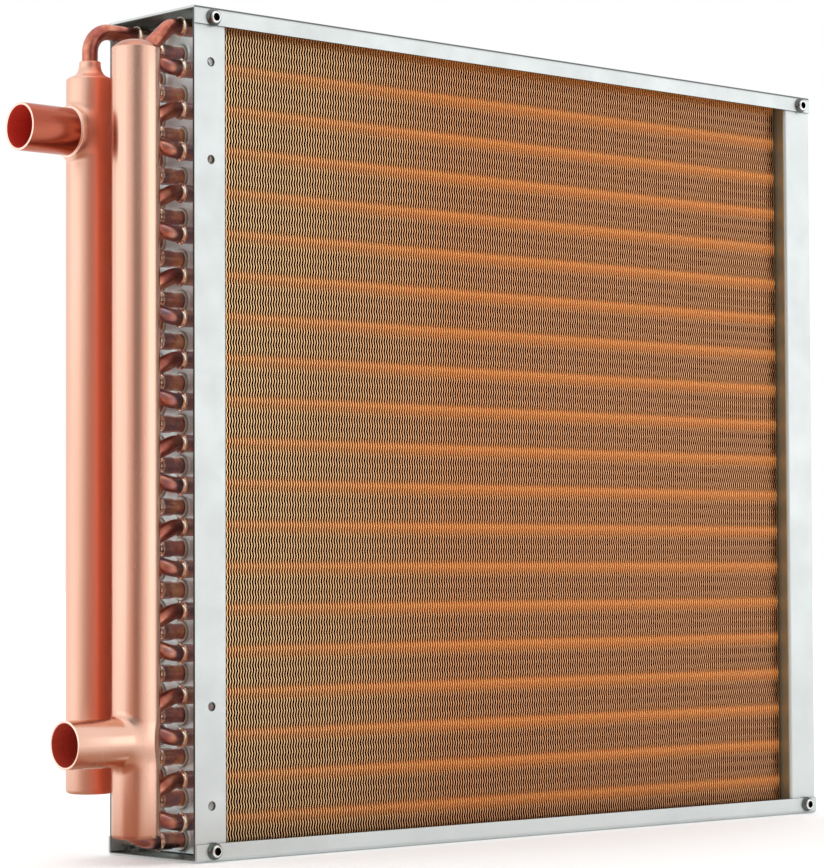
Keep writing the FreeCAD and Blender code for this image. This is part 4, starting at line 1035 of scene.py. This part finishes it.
# Collar ring: the pulled collar's rounded end, with the thin bright line of brazing metal that
# runs between it and the upper port.
COLLAR_END = [
    (12.5, COLLAR_RADIUS), (COLLAR_REACH - 0.7, COLLAR_RADIUS), (COLLAR_REACH - 0.2, COLLAR_RADIUS - 0.2),
    (COLLAR_REACH, COLLAR_RADIUS - 0.6), (COLLAR_REACH, HEADER_RADIUS + 0.5),
    (COLLAR_REACH + 0.3, HEADER_RADIUS + 0.2), (COLLAR_REACH + 0.6, HEADER_RADIUS - 0.05)]
BRAZE_LINE_TINT = (0.98, 0.70, 0.58)


def braze_line(tree, x, y, z):
    """White on the collar's end face."""
    return beyond(tree, x, REAR_HEADER_X - COLLAR_REACH + 0.45, REAR_HEADER_X - COLLAR_REACH + 0.3)


ring_paint = copper_paint(
    "collar_copper", HEADER_TONES, 0.3, HEADER_CLOUDS, bump=HEADER_BUMP,
    tints=[(BRAZE_LINE_TINT, braze_line)])
ring = turned(COLLAR_END, (REAR_HEADER_X, ROWS[2], REAR_PORT_HEIGHT), -1, HEADER_SIDES)
new_piece("collar_ring", ring, ring_paint)


# Inside of the headers: bare copper under a dark red oxide skin, which the torch leaves in a tube.
# The far wall of each header's bore is what shows down its port.
INSIDE_TONES = [(0.50, 0.08, 0.05), (0.62, 0.11, 0.07)]
INSIDE_SPAN = 30.0


def inside_wall(axis_x, axis_y, top, height):
    """The header's bore beside its port: x = axis + R cos a, y = axis + R sin a, facing the axis.

    The angle a runs from -95 to 95 degrees, so that the half towards the port is left open.
    """
    angle = np.radians(np.linspace(-95.0, 95.0, 33))
    up = np.linspace(height - INSIDE_SPAN, min(height + INSIDE_SPAN, top), 7)[:, None]
    wall = np.broadcast_arrays(axis_x + HEADER_BORE * np.cos(angle), axis_y + HEADER_BORE * np.sin(angle), up)
    corners = np.stack(wall, -1).reshape(-1, 3)
    number = np.arange(len(corners)).reshape(-1, 33)
    faces = np.stack([number[:-1, :-1], number[1:, :-1], number[1:, 1:], number[:-1, 1:]], -1).reshape(-1, 4)
    return corners, faces.tolist()


inside_paint = copper_paint("inside_copper", INSIDE_TONES, 0.3, 60.0, metal=1.0 - SHINE_LOSS)
for name, wall in (
        ("header_front_inside", inside_wall(FRONT_HEADER_X, ROWS[0], FRONT_HEADER_TOP, FRONT_PORT_HEIGHT)),
        ("header_rear_inside", inside_wall(REAR_HEADER_X, ROWS[2], REAR_SHOULDER, REAR_PORT_HEIGHT))):
    new_piece(name, wall, inside_paint)


# Corner fasteners: zinc-plated button-head screws with a hexagon socket, one at each corner of the
# front and of the back, and the hexagon nuts that hold them behind the sheets.
SCREW_PLACES = (-265.2, 268.5)
SCREW_HEIGHTS = (6.5, 501.5)
SCREW_HEAD_FOOT = 43.0
SCREW_HEAD_RADIUS = 6.0
SOCKET_SHADE = (0.01, 0.01, 0.01)
SCREW_ZINC = [(0.3, (0.50, 0.51, 0.50)), (0.7, (0.74, 0.75, 0.73))]
# Rings round each head's axis: a black socket as painted shade, a painted highlight on the flat top, and
# painted shade on the rounded side.
HEAD_LIGHT_AND_SHADE = [
    (0.40, SOCKET_SHADE), (0.42, (0.86, 0.87, 0.86)), (0.56, (0.80, 0.81, 0.80)),
    (0.62, (0.10, 0.11, 0.10)), (1.0, (0.14, 0.15, 0.14))]

screw_paint, tree, shader = new_paint("screw_zinc")
x, y, z = place_of(tree)
from_axis = slant(tree, nearest(tree, x, SCREW_PLACES), nearest(tree, z, SCREW_HEIGHTS))
head = ramp(tree, beyond(tree, from_axis, 0.0, SCREW_HEAD_RADIUS), HEAD_LIGHT_AND_SHADE)
outside = beyond(tree, away(tree, y), SCREW_HEAD_FOOT, SCREW_HEAD_FOOT + 0.05)
zinc = ramp(tree, clouds(tree, 400.0, 3.0), SCREW_ZINC)
dress(tree, shader, laid(tree, zinc, head, outside), 1.0, spread(tree, clouds(tree, 300.0), 0.25, 0.42))
relief(tree, shader, clouds(tree, 700.0), 0.00002)
repaint("corner_fasteners", screw_paint)
